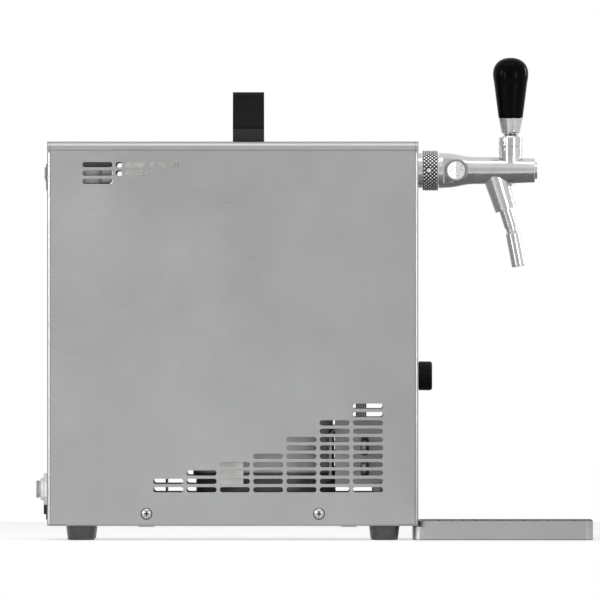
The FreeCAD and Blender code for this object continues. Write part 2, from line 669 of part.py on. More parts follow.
def tap_turned(name, points):
    """A piece turned about the tap's axis from (radius, distance from the front panel) points."""
    return turned(name, points, ("front", "0", "tap_z"), "x")


def shank():
    nose = "flange_thick + shank_nose"
    node("tap_shank", tap_turned("shank", [
        ("shank_bore", "flange_thick - shank_length"), ("shank_radius", "flange_thick - shank_length"),
        ("shank_radius", "0"), ("flange_radius", "0"), ("flange_radius", "flange_thick"),
        ("coupling_radius", "flange_thick"), ("coupling_radius", nose), ("shank_bore", nose),
    ]))
    nut = hex_nut("back_nut", "shank_nut_flats", "shank_nut_thick", "shank_radius + fit")
    node("shank_nut", put(gather("back_nut_set", nut), ("front - sheet", "0", "tap_z"), "-x"))
    node("tap_gasket", tap_turned("gasket", [
        ("shank_bore", nose), ("spigot_radius", nose), ("spigot_radius", "tail_start"),
        ("shank_bore", "tail_start"),
    ]))
    keeper_end = "tail_start + keeper_thick"
    node("collar_keeper", tap_turned("keeper", [
        ("spigot_radius + fit", "tail_start"), ("coupling_radius", "tail_start"),
        ("coupling_radius", keeper_end), ("spigot_radius + fit", keeper_end),
    ]))
    end, inside = "flange_thick + collar_length", "coupling_radius + fit"
    ring = tap_turned("collar_ring", [
        (inside, "flange_thick"), ("collar_radius - 0.6", "flange_thick"),
        ("collar_radius", "flange_thick + 0.6"), ("collar_radius", f"{end} - 0.6"),
        ("collar_radius - 0.6", end), ("lip_radius + fit", end),
        ("lip_radius + fit", f"{keeper_end} + fit"), (inside, f"{keeper_end} + fit"),
    ])
    hole = rod("spanner_hole_cutter", "spanner_hole", "collar_radius",
               ("front + spanner_reach", "-collar_radius - 1", "tap_z"), "y")
    node("coupling_collar", cut("collar", ring, hole))


def tap_body():
    keeper_end, neck = "tail_start + keeper_thick", "flange_thick + collar_length + slip"
    middle_r, middle = "(shoulder_radius + barrel_radius) / 2", "(neck_end + taper_end) / 2"
    drop, run = "(shoulder_radius - barrel_radius)", "(taper_end - neck_end)"
    sweep = f"({drop}^2 + {run}^2) / (4 * {drop})"
    barrel = tap_turned("tap_barrel", [
        ("0", "tail_start"), ("spigot_radius", "tail_start"), ("spigot_radius", keeper_end),
        ("lip_radius", keeper_end), ("lip_radius", neck), ("neck_radius", neck),
        ("neck_radius", "neck_end"), ("shoulder_radius", "neck_end", sweep),
        (middle_r, middle, f"-({sweep})"), ("barrel_radius", "taper_end"),
        ("barrel_radius", "barrel_end"), ("nose_radius", "nose_end - 0.4"),
        ("nose_radius - 0.4", "nose_end"), ("0", "nose_end"),
    ])
    saddle = rod("bonnet_saddle", "saddle_radius", "bonnet_base", ("lever_x", "0", "tap_z"))
    spigot = rod("bonnet_spigot", "ball_radius", "spigot_height",
                 ("lever_x", "0", "tap_z + bonnet_base"))
    branch = cone("spout_branch", "branch_top", "branch_end", "branch_length",
                  ("branch_x", "0", "tap_z"), "180 - spout_tilt")
    nub = rod("drain_nub", "nub_radius", "nub_drop", ("front + nub_reach", "0", "tap_z"), "-z")
    casting = fuse("tap_casting", barrel, saddle, spigot, branch, nub)

    flat = block("compensator_flat_cutter",
                 ("front + neck_end", "front + compensator_reach + compensator_ring + slip"),
                 ("-flange_radius - 2", "-compensator_flat"), ("tap_z - 14", "tap_z + 14"))
    bore = tap_turned("tap_bore", [
        ("0", "tail_start - 1"), ("tail_bore", "tail_start - 1"), ("tail_bore", "cone_rear - 3"),
        ("inlet_bore", "cone_front + 4"), ("inlet_bore", "seat_start"),
        ("throat_radius", "valve_seat"), ("throat_radius", "chamber_start"),
        ("chamber_radius", "chamber_start"), ("chamber_radius", "nose_end + 1"),
        ("0", "nose_end + 1"),
    ])
    neck_bore = turned("neck_bore_tool", [
        ("0", "0"), ("neck_bore", "0"), ("neck_bore", "bonnet_base - 0.4"),
        ("neck_bore - neck_step", "bonnet_base - 0.4"),
        ("neck_mouth", "bonnet_base + spigot_height + 0.1"),
        ("0", "bonnet_base + spigot_height + 0.1"),
    ], ("lever_x", "0", "tap_z"))
    way = "180 - spout_tilt"
    passage = rod("spout_passage", "nozzle_bore", "branch_length", ("branch_x", "0", "tap_z"), way)
    socket = rod("spout_socket", "nozzle_radius + fit", "nozzle_socket + 1",
                 ("spout_x - nozzle_socket * sin(spout_tilt)", "0",
                  "spout_z + nozzle_socket * cos(spout_tilt)"), way)
    spindle = rod("dial_bore", "dial_spindle + fit", "neck_radius", ("dial_x", "0", "tap_z"), "-y")
    node("tap_body", cut("tap", casting, flat, bore, neck_bore, passage, socket, spindle))
    node("tap_end_cap", tap_turned("end_cap", [
        ("0", "nose_end - cap_depth"), ("chamber_radius - fit", "nose_end - cap_depth"),
        ("chamber_radius - fit", "nose_end"), ("cap_radius", "nose_end"),
        ("cap_radius", "nose_end + cap_proud - 0.4"), ("cap_radius - 0.4", "nose_end + cap_proud"),
        ("0", "nose_end + cap_proud"),
    ]))


def compensator():
    at = ("dial_x", "0", "tap_z")
    rim = "compensator_flat + ring_proud"
    node("compensator_ring", turned("dial_ring", [
        ("dial_disc + fit", "compensator_flat"), ("compensator_ring", "compensator_flat"),
        ("compensator_ring", f"{rim} - 0.5"), ("compensator_ring - 0.5", rim),
        ("dial_disc + fit", rim),
    ], at, "-y"))
    face = f"{rim} - dial_sunk"
    inner = "inlet_bore + 0.1"
    disc = turned("dial_disc_blank", [
        ("0", inner), ("dial_spindle", inner), ("dial_spindle", "compensator_flat + fit"),
        ("dial_disc", "compensator_flat + fit"), ("dial_disc", f"{face} + dial_ridge"),
        ("0", f"{face} + dial_ridge"),
    ], at, "-y")
    roof = padded("dial_roof", "XY_Plane", [
        ("-dial_disc - 1", "0"), ("-dial_disc - 1", f"-({face})"), ("0", f"-({face}) - dial_ridge"),
        ("dial_disc + 1", f"-({face})"), ("dial_disc + 1", "0"),
    ], "2 * dial_disc + 2", at)
    pin = rod("dial_pin", "eccentric_radius", "inlet_bore - 2.4",
              ("dial_x", "-inlet_bore - 1", "tap_z + eccentric"), "y")
    node("compensator_knob", fuse("dial", keep("dial_face", disc, roof), pin))
    plug = tap_turned("cone_blank", [
        ("0", "cone_rear"), ("cone_small - 1.5", "cone_rear"), ("cone_small", "cone_rear + 2"),
        ("cone_large", "cone_front - 2"), ("cone_large - 1.5", "cone_front"), ("0", "cone_front"),
    ])
    reach = "(eccentric_radius + eccentric_play)"
    slot = block("cone_slot", (f"dial_x - {reach}", f"dial_x + {reach}"), ("-cone_large - 1", "-2.2"),
                 ("tap_z - 4", f"tap_z + eccentric + {reach}"))
    node("compensator_cone", cut("flow_cone", plug, slot))


def lever():
    top, at = "bonnet_top - pivot_depth", ("lever_x", "0", "pivot_z")
    mouth = "sqrt(bore_fit^2 - pivot_depth^2)"
    groove = "bonnet_groove - bonnet_top + pivot_depth"
    base = "bonnet_base - bonnet_top + pivot_depth"
    node("bonnet_nut", turned("bonnet", [
        ("bore_fit", base), ("bonnet_radius", base), ("bonnet_radius", f"{groove} - 0.35"),
        ("bonnet_radius - 0.35", f"{groove} - 0.1"), ("bonnet_radius - 0.35", f"{groove} + 0.1"),
        ("bonnet_radius", f"{groove} + 0.35"), ("bonnet_radius", "pivot_depth - 0.5"),
        ("bonnet_radius - 0.5", "pivot_depth"), (mouth, "pivot_depth", "-bore_fit"),
        ("bore_fit", "0"),
    ], at))
    tail_join = "sqrt(tail_ball^2 - tail_radius^2)"
    stem_top = "pivot_depth + ferrule_gap + ferrule_height + knob_thread"
    node("lever_pin", turned("pin", [
        ("0", "-tail_length - tail_ball", "tail_ball"), ("tail_ball", "-tail_length", "tail_ball"),
        ("tail_radius", f"{tail_join} - tail_length"),
        ("tail_radius", "-sqrt(ball_radius^2 - tail_radius^2)", "ball_radius"),
        ("ball_radius", "0", "ball_radius"), ("stem_radius", "sqrt(ball_radius^2 - stem_radius^2)"),
        ("stem_radius", stem_top), ("0", stem_top),
    ], at))
    flat = "ferrule_base - ferrule_round"
    node("lever_ferrule", turned("ferrule", [
        ("stem_radius + fit + ferrule_sink", "0"), (flat, "0", "ferrule_round"),
        ("ferrule_base", "ferrule_round"), ("ferrule_top", "ferrule_height - 0.5"),
        ("ferrule_top - 0.5", "ferrule_height"), ("stem_radius + fit", "ferrule_height"),
        ("stem_radius + fit", "ferrule_sink"),
    ], ("lever_x", "0", "ferrule_z")))
    wide, tall = "(knob_radius - knob_waist)", "(knob_belt_height - knob_waist_height)"
    belt = f"({wide}^2 + {tall}^2) / (2 * {wide})"
    over, rise = "(knob_radius - knob_shoulder)", "(knob_length - knob_crown - knob_belt_height)"
    shoulder = f"({over}^2 + {rise}^2) / (2 * {over})"
    crown = "(knob_shoulder^2 + knob_crown^2) / (2 * knob_crown)"
    node("lever_knob", turned("knob", [
        ("stem_radius + fit", "0"), ("knob_base - 0.4", "0"), ("knob_base", "0.4"),
        ("knob_waist", "knob_waist_height", belt), ("knob_radius", "knob_belt_height", shoulder),
        ("knob_shoulder", "knob_length - knob_crown", crown), ("0", "knob_length"),
        ("0", "knob_thread + slip"), ("stem_radius + fit", "knob_thread + slip"),
    ], ("lever_x", "0", "knob_z")))


def plunger():
    back, front = "lever_reach - guide_back", "lever_reach + guide_front"
    groove, guide = "lever_reach + ring_groove_start", "chamber_radius - ball_fit"
    groove_end = f"{groove} + ring_groove_width"
    blank = tap_turned("plunger_blank", [
        ("0", "head_start"), ("head_radius", "head_start"), ("head_radius", "head_end"),
        ("plunger_stem", "head_end"), ("plunger_stem", back), (guide, back), (guide, groove),
        ("ring_groove", groove), ("ring_groove", groove_end), (guide, groove_end),
        (guide, front), ("0", front),
    ])
    reach = "(tail_ball + fork_play)"
    fork = block("fork_slot", (f"lever_x - {reach}", f"lever_x + {reach}"),
                 ("-fork_width / 2", "fork_width / 2"),
                 ("tap_z + fork_floor", "tap_z + chamber_radius + 1"))
    node("valve_plunger", cut("plunger", blank, fork))
    seat = tap_turned("seat_seal", [
        ("plunger_stem + fit", "head_end"), ("head_radius", "head_end"),
        ("head_radius", "seat_start + 0.6"), ("throat_radius", "valve_seat - 0.35"),
        ("plunger_stem + fit", "valve_seat - 0.35"),
    ])
    ring = tap_turned("guide_ring", [
        ("ring_groove", f"{groove} + 0.1"), (guide, f"{groove} + 0.1"),
        (guide, f"{groove_end} - 0.1"), ("ring_groove", f"{groove_end} - 0.1"),
    ])
    node("plunger_seals", gather("seals", seat, ring))


def spout():
    way, tip_way = "180 - spout_tilt", "180 - sleeve_tilt"
    start = ("spout_x - nozzle_socket * sin(spout_tilt)", "0",
             "spout_z + nozzle_socket * cos(spout_tilt)")
    upper = rod("nozzle_upper", "nozzle_radius", "nozzle_socket + nozzle_length - nozzle_neck", start,
                way)
    tip = ("knee_x + sleeve_length * sin(sleeve_tilt)", "0",
           "knee_z - sleeve_length * cos(sleeve_tilt)")
    route = [start, ("knee_x", "0", "knee_z"), tip]
    inner = swept("nozzle_tip", route, "tip_radius", "tip_bend")
    bore = swept("nozzle_bore_tool", route, "nozzle_bore", "tip_bend")
    node("spout_nozzle", cut("nozzle", fuse("nozzle_blank", upper, inner), bore))
    node("spout_sleeve", turned("sleeve", [
        ("tip_radius + fit", "sleeve_start"), ("tip_radius + 0.3", "sleeve_start"),
        ("sleeve_radius", "sleeve_start + sleeve_taper"), ("sleeve_radius", "sleeve_length - 0.4"),
        ("sleeve_radius - 0.4", "sleeve_length"), ("tip_radius + fit", "sleeve_length"),
    ], ("knee_x", "0", "knee_z"), tip_way))


# Drip tray


def drip_tray():
    half = "tray_width / 2"
    lower = padded("tray_lower", "XY_Plane",
                   rounded("tray_back", "tray_front", f"-{half}", half, "tray_corner"),
                   "ledge_z", ("0", "0", "ledge_z / 2"))
    upper = padded("tray_upper", "XY_Plane",
                   rounded("front + slip", "tray_front", f"-{half}", half, "tray_corner"),
                   "tray_height", ("0", "0", "tray_height / 2"))
    inner = "tray_width / 2 - sheet"
    basin = padded("tray_basin", "XY_Plane",
                   rounded("front + slip + sheet", "tray_front - sheet", f"-({inner})", inner,
                           "tray_corner - sheet"),
                   "tray_height", ("0", "0", "tray_height / 2 + sheet"))
    throat = block("tray_throat", ("tray_back + sheet", "front + tray_corner + sheet"),
                   ("tray_corner - tray_width / 2", "tray_width / 2 - tray_corner"),
                   ("sheet", "ledge_z - sheet"))
    shell = cut("tray_shell", fuse("tray_blank", lower, upper), basin, throat)
    ledges = [
        block(f"tray_ledge_{i}", ("front + 2 * tray_corner", "tray_front - 2 * tray_corner"),
              y, ("grid_z - sheet", "grid_z"))
        for i, y in enumerate(((f"-({inner}) - sheet / 2", f"grid_ledge - ({inner})"),
                               (f"{inner} - grid_ledge", f"{inner} + sheet / 2")))
    ]
    node("drip_tray", fuse("tray", shell, *ledges))

    rim = "tray_width / 2 - sheet - slip"
    plate = padded("grid_sheet_blank", "XY_Plane",
                   rounded("grid_back", "grid_front", f"-({rim})", rim, "tray_corner - sheet"),
                   "grid_sheet", ("0", "0", "grid_z + grid_sheet / 2"))
    slot = padded("grid_slot", "XY_Plane",
                  upright("grid_slot_width", "grid_slot_length"), "grid_sheet + 2")
    slots = [
        copy(f"grid_slot_{i}_{side}", slot, (f"grid_back + grid_slot_start + {i} * grid_slot_pitch",
                                             f"{sign}grid_slot_y", "grid_z"))
        for i in range(SIZES["grid_slots"]) for side, sign in (("near", "-"), ("far", ""))
    ]
    node("drip_grid", cut("grid", plate, gather("grid_slot_set", *slots)))


def upright(width, length):
    """Points of a slot with round ends that lies along the second axis, run anticlockwise."""
    half, end, round_end = f"{width} / 2", f"{length} / 2", f"({length} - {width}) / 2"
    return [
        (f"-{half}", f"-({round_end})", half), ("0", f"-({end})", half), (half, f"-({round_end})"),
        (half, round_end, half), ("0", end, half), (f"-{half}", round_end),
    ]


# Thermostat


def thermostat():
    at = ("front", "0", "dial_height")
    dish = "dial_length - dial_dish"
    node("thermostat_knob", turned("thermostat_dial", [
        ("0", "-spindle_depth"), ("spindle_radius", "-spindle_depth"), ("spindle_radius", "dial_gap"),
        ("dial_radius", "dial_gap"), ("dial_radius", "dial_length - dial_bevel"),
        ("dial_radius - dial_bevel", "dial_length"), ("dial_radius - 2 * dial_bevel", "dial_length"),
        ("dial_radius - 3 * dial_bevel", dish), ("0", dish),
    ], at, "x"))
    half_w, half_h = "thermostat_width / 2", "thermostat_height / 2"
    case = block("thermostat_case", ("front - sheet - thermostat_depth", "front - sheet"),
                 (f"-{half_w}", half_w), (f"dial_height - {half_h}", f"dial_height + {half_h}"))
    bushing = rod("thermostat_bushing", "bushing_radius", "sheet + 1",
                  ("front - sheet - 1", "0", "dial_height"), "x")
    bore = rod("thermostat_bore", "spindle_radius + fit", "spindle_depth + 2",
               ("front - spindle_depth - 0.5", "0", "dial_height"), "x")
    node("thermostat_body", cut("thermostat", fuse("thermostat_blank", case, bushing), bore))


# Rocker switches


def rocker_switch(name, y):
    """A switch in its own frame: +X is outwards and the panel's face is at X = 0."""
    high, wide = "bezel_height / 2", "bezel_width / 2"
    body_h, body_w = f"{high} - bezel_cover", f"{wide} - bezel_cover"
    well_h, well_w = f"{high} - bezel_rim", f"{wide} - bezel_rim"
    bezel = block(f"{name}_bezel", ("0", "bezel_proud"), (f"-{wide}", wide), (f"-{high}", high))
    case = block(f"{name}_case", ("-housing_depth", "0"), (f"-({body_w})", body_w),
                 (f"-({body_h})", body_h))
    well = block(f"{name}_well", ("-rocker_well", "bezel_proud + 1"), (f"-({well_w})", well_w),
                 (f"-({well_h})", well_h))
    eye = rod(f"{name}_eye", "rocker_pin + fit", f"2 * ({body_w}) - 0.4",
              ("-rocker_pivot", f"0.2 - ({body_w})", "0"), "y")
    housing = cut(f"{name}_housing", fuse(f"{name}_blank", bezel, case), well, eye)
    face = "(rocker_proud + rocker_pivot)"
    corner = (f"{face} * cos(rocker_tilt) - rocker_half * sin(rocker_tilt)",
              f"{face} * sin(rocker_tilt) + rocker_half * cos(rocker_tilt)")
    paddle = padded(f"{name}_paddle", "XZ_Plane", [
        ("-rocker_root", "rocker_root_half"), ("-rocker_root", "-rocker_root_half"),
        (corner[0], f"-({corner[1]})"), (f"{face} / cos(rocker_tilt)", "0"), corner,
    ], f"2 * ({well_w} - rocker_play)")
    pin = rod(f"{name}_pin", "rocker_pin", f"2 * ({body_w}) - 0.8", ("0", f"0.4 - ({body_w})", "0"), "y")
    rocker = put(gather(f"{name}_tilted", fuse(f"{name}_rocker_blank", paddle, pin)),
                 ("-rocker_pivot", "0", "0"), "rocker_tilt")
    at = ("rear", y, "switch_height")
    return (put(gather(f"{name}_housing_set", housing), at, "back"),
            put(gather(f"{name}_rocker_set", rocker), at, "back"))


def switches():
    cooling, cooling_rocker = rocker_switch("cooling", "-switch_y")
    pump, pump_rocker = rocker_switch("pump", "switch_y")
    node("switch_housings", gather("housings", cooling, pump))
    node("cooling_rocker", cooling_rocker)
    node("pump_rocker", pump_rocker)


# Rear connectors


def connector(name, y):
    """A bulkhead union with its collet, along -X from the rear panel."""
    at = ("rear", y, "port_height")
    union = turned(f"{name}_union", [
        ("collet_bore", "-port_depth"), ("port_thread", "-port_depth"), ("port_thread", "0"),
        ("ring_radius", "0"), ("ring_radius", "port_ring - 0.4"), ("ring_radius - 0.4", "port_ring"),
        ("collet_neck + fit", "port_ring"), ("collet_neck + fit", "-port_stop"),
        ("port_waist", "-port_stop"), ("port_waist", "port_socket - port_depth"),
        ("collet_bore", "port_socket - port_depth"),
    ], at, "-x")
    collar = put(hex_nut(f"{name}_hex", "nut_flats", "nut_thick", "port_thread - 0.5", 0), at, "-x")
    node(f"{name}_fitting", fuse(f"{name}_body", union, collar))
    node(f"{name}_collet", turned(f"{name}_grip", [
        ("collet_bore", "collet_travel - port_stop + fit"),
        ("collet_neck", "collet_travel - port_stop + fit"),
        ("collet_neck", "port_reach - collet_flange"), ("collet_radius", "port_reach - collet_flange"),
        ("collet_radius", "port_reach - 0.4"), ("collet_radius - 0.4", "port_reach"),
        ("collet_bore", "port_reach"),
    ], at, "-x"))


def rear_connectors():
    connector("beer_inlet", "-beer_y")
    connector("air_outlet", "-air_y")
    lock = hex_nut("lock_nut", "lock_flats", "lock_thick", "port_thread + fit")
    node("connector_nuts", gather("lock_nuts", *[
        copy(f"lock_nut_{i}", lock, ("rear + sheet", y, "port_height"), "x")
        for i, y in enumerate(("-beer_y", "-air_y"))]))


def mains_inlet():
    """The inlet in its own frame: +X is outwards and the panel's face is at X = 0."""
    at = ("rear", "inlet_y", "inlet_base + inlet_height / 2")
    wide, high = "inlet_width / 2", "inlet_height / 2"
    flange = padded("inlet_flange_plate", "YZ_Plane",
                    rounded(f"-{wide}", wide, f"-{high}", high, "inlet_corner"),
                    "inlet_flange", ("inlet_flange / 2", "0", "0"))
    rim_y, rim_z = "inlet_rim / 2", "inlet_rise / 2"
    rim = padded("inlet_rim_block", "YZ_Plane",
                 rounded(f"-{rim_y}", rim_y, f"-{rim_z}", rim_z, "inlet_corner"),
                 "inlet_proud", ("inlet_proud / 2", "0", "0"))
    body_y, body_z = "inlet_body / 2", "inlet_rise / 2"
    case = block("inlet_case", ("-inlet_depth", "0.5"), (f"-{body_y}", body_y), (f"-{body_z}", body_z))
    mouth_y, mouth_z = "inlet_mouth / 2", "inlet_mouth_height / 2"
    mouth = block("inlet_mouth_cutter", ("-inlet_well", "inlet_proud + 1"), (f"-{mouth_y}", mouth_y),
                  (f"-{mouth_z}", mouth_z))
    blades, slits = [], []
    for name, y, z in (("live", "-blade_gap", "0"), ("earth", "0", "blade_short"),
                       ("neutral", "blade_gap", "0")):
        for items, x, more in ((blades, ("-inlet_depth - blade_tail", "-blade_short"), "0"),
                               (slits, ("-inlet_depth - 1", "-inlet_well + 1"), "fit")):
            items.append(block(f"{name}_{'blade' if more == '0' else 'slit'}", x,
                               (f"{y} - blade_width / 2 - {more}", f"{y} + blade_width / 2 + {more}"),
                               (f"{z} - blade_height / 2 - {more}", f"{z} + blade_height / 2 + {more}")))
    socket = cut("inlet_body_cut", fuse("inlet_blank", flange, rim, case), mouth, *slits)
    node("mains_inlet", put(gather("inlet_set", socket), at, "back"))
    node("mains_inlet_pins", put(gather("inlet_blades", *blades), at, "back"))


# Compressor


def compressor():
    at = ("compressor_mid", "0", "0")
    inner, rim = "compressor_radius - shell_wall", "compressor_radius + shell_lip"
    node("compressor_lower_shell", turned("lower_shell", [
        ("0", "shell_base"), ("compressor_radius - shell_round", "shell_base", "shell_round"),
        ("compressor_radius", "shell_base + shell_round"),
        ("compressor_radius", "shell_split - lip_thick"),
        (rim, "shell_split - lip_thick"), (rim, "shell_split"), (inner, "shell_split"),
        (inner, "shell_base + shell_round", "-(shell_round - shell_wall)"),
        ("compressor_radius - shell_round", "shell_base + shell_wall"), ("0", "shell_base + shell_wall"),
    ], at))
    node("compressor_upper_shell", turned("upper_shell", [
        ("can_radius - shell_wall", "shell_split"), (rim, "shell_split"),
        (rim, "shell_split + lip_thick"),
        ("can_radius", "shell_split + lip_thick"), ("can_radius", "shell_top - can_round", "can_round"),
        ("can_radius - can_round", "shell_top"), ("0", "shell_top"), ("0", "shell_top - shell_wall"),
        ("can_radius - can_round", "shell_top - shell_wall", "-(can_round - shell_wall)"),
        ("can_radius - shell_wall", "shell_top - can_round"),
    ], at))

    under = "plate_height + plate_thick"
    plate = block("plate_sheet", ("bolt_rear - plate_edge", "bolt_front + plate_edge"),
                  ("-bolt_y - plate_edge", "bolt_y + plate_edge"), ("plate_height", under))
    ring = rod("pedestal", "pedestal_radius", f"shell_base - ({under}) + plate_thick",
               ("compressor_mid", "0", "plate_height"))
    hollow = rod("pedestal_hollow", "pedestal_bore", "shell_base", ("compressor_mid", "0", under))
    holes = [rod(f"plate_hole_{i}", "bolt_radius + seam", "plate_thick + 2", (x, y, "plate_height - 1"))
             for i, (x, y) in enumerate(PLATE_BOLTS)]
    node("compressor_plate", cut("plate", fuse("plate_blank", plate, ring), hollow, *holes))

    grommet = turned("grommet", [
        ("bolt_radius + seam", "pan_top"), ("grommet_radius", "pan_top"),
        ("grommet_radius", "plate_height"),
        ("bolt_radius + seam", "plate_height"),
    ], ("0", "0", "0"))
    node("compressor_grommets", gather("grommets", *[
        copy(f"grommet_{i}", grommet, (x, y, "0")) for i, (x, y) in enumerate(PLATE_BOLTS)]))
    bolt = turned("plate_bolt", [
        ("0", "-bolt_head_height"), ("bolt_head - bolt_head_height / 2", "-bolt_head_height"),
        ("bolt_head", "0"), ("bolt_radius", "0"), ("bolt_radius", "bolt_length"), ("0", "bolt_length"),
    ], ("0", "0", "0"))
    nut = hex_nut("bolt_nut", "bolt_nut_flats", "bolt_nut_thick", "bolt_radius + fit")
    node("compressor_bolts", gather("bolt_set", *[
        copy(f"bolt_{i}", bolt, (x, y, "floor")) for i, (x, y) in enumerate(PLATE_BOLTS)
    ] + [copy(f"bolt_nut_{i}", nut, (x, y, under)) for i, (x, y) in enumerate(PLATE_BOLTS)]))

    cap = block("terminal_box", ("compressor_mid - terminal_rear", "compressor_mid - terminal_front"),
                ("-terminal_out", "-terminal_in"), ("terminal_base", "terminal_base + terminal_height"))
    round_shell = rod("terminal_seat", f"{rim} + slip", "terminal_height + 2",
                      ("compressor_mid", "0", "terminal_base - 1"))
    node("compressor_terminal_cover", cut("terminal_cover", cap, round_shell))


# Condenser and fans

COIL_Z = [f"coil_top - {row} * coil_pitch" for row in range(SIZES["coil_rows"])]


def condenser():
    rear, face = "coil_x - condenser_depth / 2", "coil_x + condenser_depth / 2"
    sheet_fin = block("fin_sheet", (rear, face), ("-fin_thick / 2", "fin_thick / 2"),
                      ("condenser_base", "condenser_top"))
    bores = [rod(f"fin_bore_{i}", "coil_radius", "2 * fin_thick", ("coil_x", "-fin_thick", z), "y")
             for i, z in enumerate(COIL_Z)]
    fin = cut("fin", sheet_fin, *bores)
    node("condenser_fins", gather("fin_pack", *[
        copy(f"fin_{i}", fin,
             ("0", f"{i} * fin_pitch - fin_start", "0")) for i in range(SIZES["fins"])]))

    route = [("coil_x - coil_out", "-turn_y", COIL_Z[0]), ("coil_x", "-turn_y", COIL_Z[0])]
    for row, z in enumerate(COIL_Z[:-1]):
        end = "coil_half" if row % 2 == 0 else "-coil_half"
        route += [("coil_x", end, z), ("coil_x", end, COIL_Z[row + 1])]
    route += [("coil_x", "turn_y", COIL_Z[-1]), ("coil_x - coil_out", "turn_y", COIL_Z[-1])]
    node("condenser_coil", swept("coil", route, "coil_radius", "coil_pitch / 2"))

    along, tall = ("shroud_rear", "shroud_front"), ("condenser_base", "condenser_top")
    inner, outer = "condenser_half", "condenser_half + shroud_sheet"
    near = block("shroud_near", along, (f"-({outer})", f"-{inner}"), tall)
    far = block("shroud_far", along, (inner, outer), tall)
    front = block("shroud_front_sheet", ("shroud_x", "frame_x"), (f"-{inner} - 1", f"{inner} + 1"), tall)
    pillars = [
        rod(f"pillar_{side}", "pillar_radius", "condenser_base - pan_top + 2",
            ("pillar_x", f"{sign}({inner} + shroud_sheet / 2)", "pan_top"))
        for side, sign in (("near", "-"), ("far", ""))
    ]
    windows = [rod(f"fan_window_{side}", "fan_radius + fan_clear", "4",
                   ("shroud_x - 1", f"{sign}fan_y", "fan_z"), "x")
               for side, sign in (("near", "-"), ("far", ""))]
    ports = [rod(f"coil_port_near_{i}", "coil_radius", "4", ("coil_x", f"-({outer}) - 1", z), "y")
             for i, z in enumerate(COIL_Z) if i > 0]
    ports += [rod(f"coil_port_far_{i}", "coil_radius", "4", ("coil_x", f"{inner} - 1", z), "y")
              for i, z in enumerate(COIL_Z) if i < SIZES["coil_rows"] - 1]
    node("condenser_shroud",
         cut("shroud", fuse("shroud_blank", near, far, front, *pillars), *windows, *ports))


def fans():
    """A fan in its own frame: +X is the way the air goes, X = 0 the shroud's face."""
    reach = "shroud_front - frame_x"
    tunnel, rim = "fan_radius + fan_clear", "condenser_height / 2"
    ring = cut("fan_ring", rod("fan_ring_blank", rim, reach, ("0", "0", "0"), "x"),
               rod("fan_tunnel", tunnel, f"{reach} + 2", ("-1", "0", "0"), "x"))
    struts = [
        block(f"fan_strut_{i}", (f"{reach} - shroud_sheet", reach), y, z)
        for i, (y, z) in enumerate((
            (("-strut_width / 2", "strut_width / 2"), (f"-{tunnel} - slip", f"{tunnel} + slip")),
            ((f"-{tunnel} - slip", f"{tunnel} + slip"), ("-strut_width / 2", "strut_width / 2"))))
    ]
    motor = rod("fan_motor", "motor_radius", "motor_depth", (f"{reach} - motor_depth", "0", "0"), "x")
    bore = rod("fan_motor_bore", "fan_shaft + fit", "shaft_length + 1",
               (f"{reach} - motor_depth - 1", "0", "0"), "x")
    frame = cut("fan_frame", fuse("fan_frame_blank", ring, *struts, motor), bore)

    hub = turned("fan_hub", [
        ("0", "fan_gap"), ("fan_hub", "fan_gap"), ("fan_hub", "fan_gap + fan_depth"),
        ("fan_hub - hub_wall", "fan_gap + fan_depth"), ("fan_hub - hub_wall", "fan_gap + hub_wall"),
        ("fan_shaft", "fan_gap + hub_wall"), ("fan_shaft", "fan_gap + hub_wall + shaft_length"),
        ("0", "fan_gap + hub_wall + shaft_length"),
    ], ("0", "0", "0"), "x")
    sheet_blade = block("blade_sheet", ("-blade_thick / 2", "blade_thick / 2"),
                        ("-blade_chord / 2", "blade_chord / 2"),
                        ("fan_hub - hub_wall / 2", "fan_radius + 1"))
    pitched = put(gather("blade_pitched", sheet_blade), ("fan_gap + fan_depth / 2", "0", "0"),
                  Rotation(Vector(0, 0, 1), SIZES["blade_pitch"]))
    blades = [
        copy(f"blade_{i}", pitched, ("0", "0", "0"),
             Rotation(Vector(1, 0, 0), i * 360 / SIZES["blade_count"]))
        for i in range(SIZES["blade_count"])
    ]
    sweep = rod("blade_reach", "fan_radius", "fan_depth", ("fan_gap", "0", "0"), "x")
    rotor = fuse("fan_rotor", hub, keep("blade_ring", gather("blade_set", *blades), sweep))
    node("fan_frames", gather("fan_frame_set", *[
        copy(f"fan_frame_{side}", frame, ("frame_x", y, "fan_z")) for side,
        y in (("near", "-fan_y"), ("far", "fan_y"))]))
    for side, y in (("near", "-fan_y"), ("far", "fan_y")):
        node(f"fan_rotor_{side}",
             gather(f"rotor_{side}", copy(f"rotor_{side}_link", rotor, ("frame_x", y, "fan_z"))))


# Cooling block


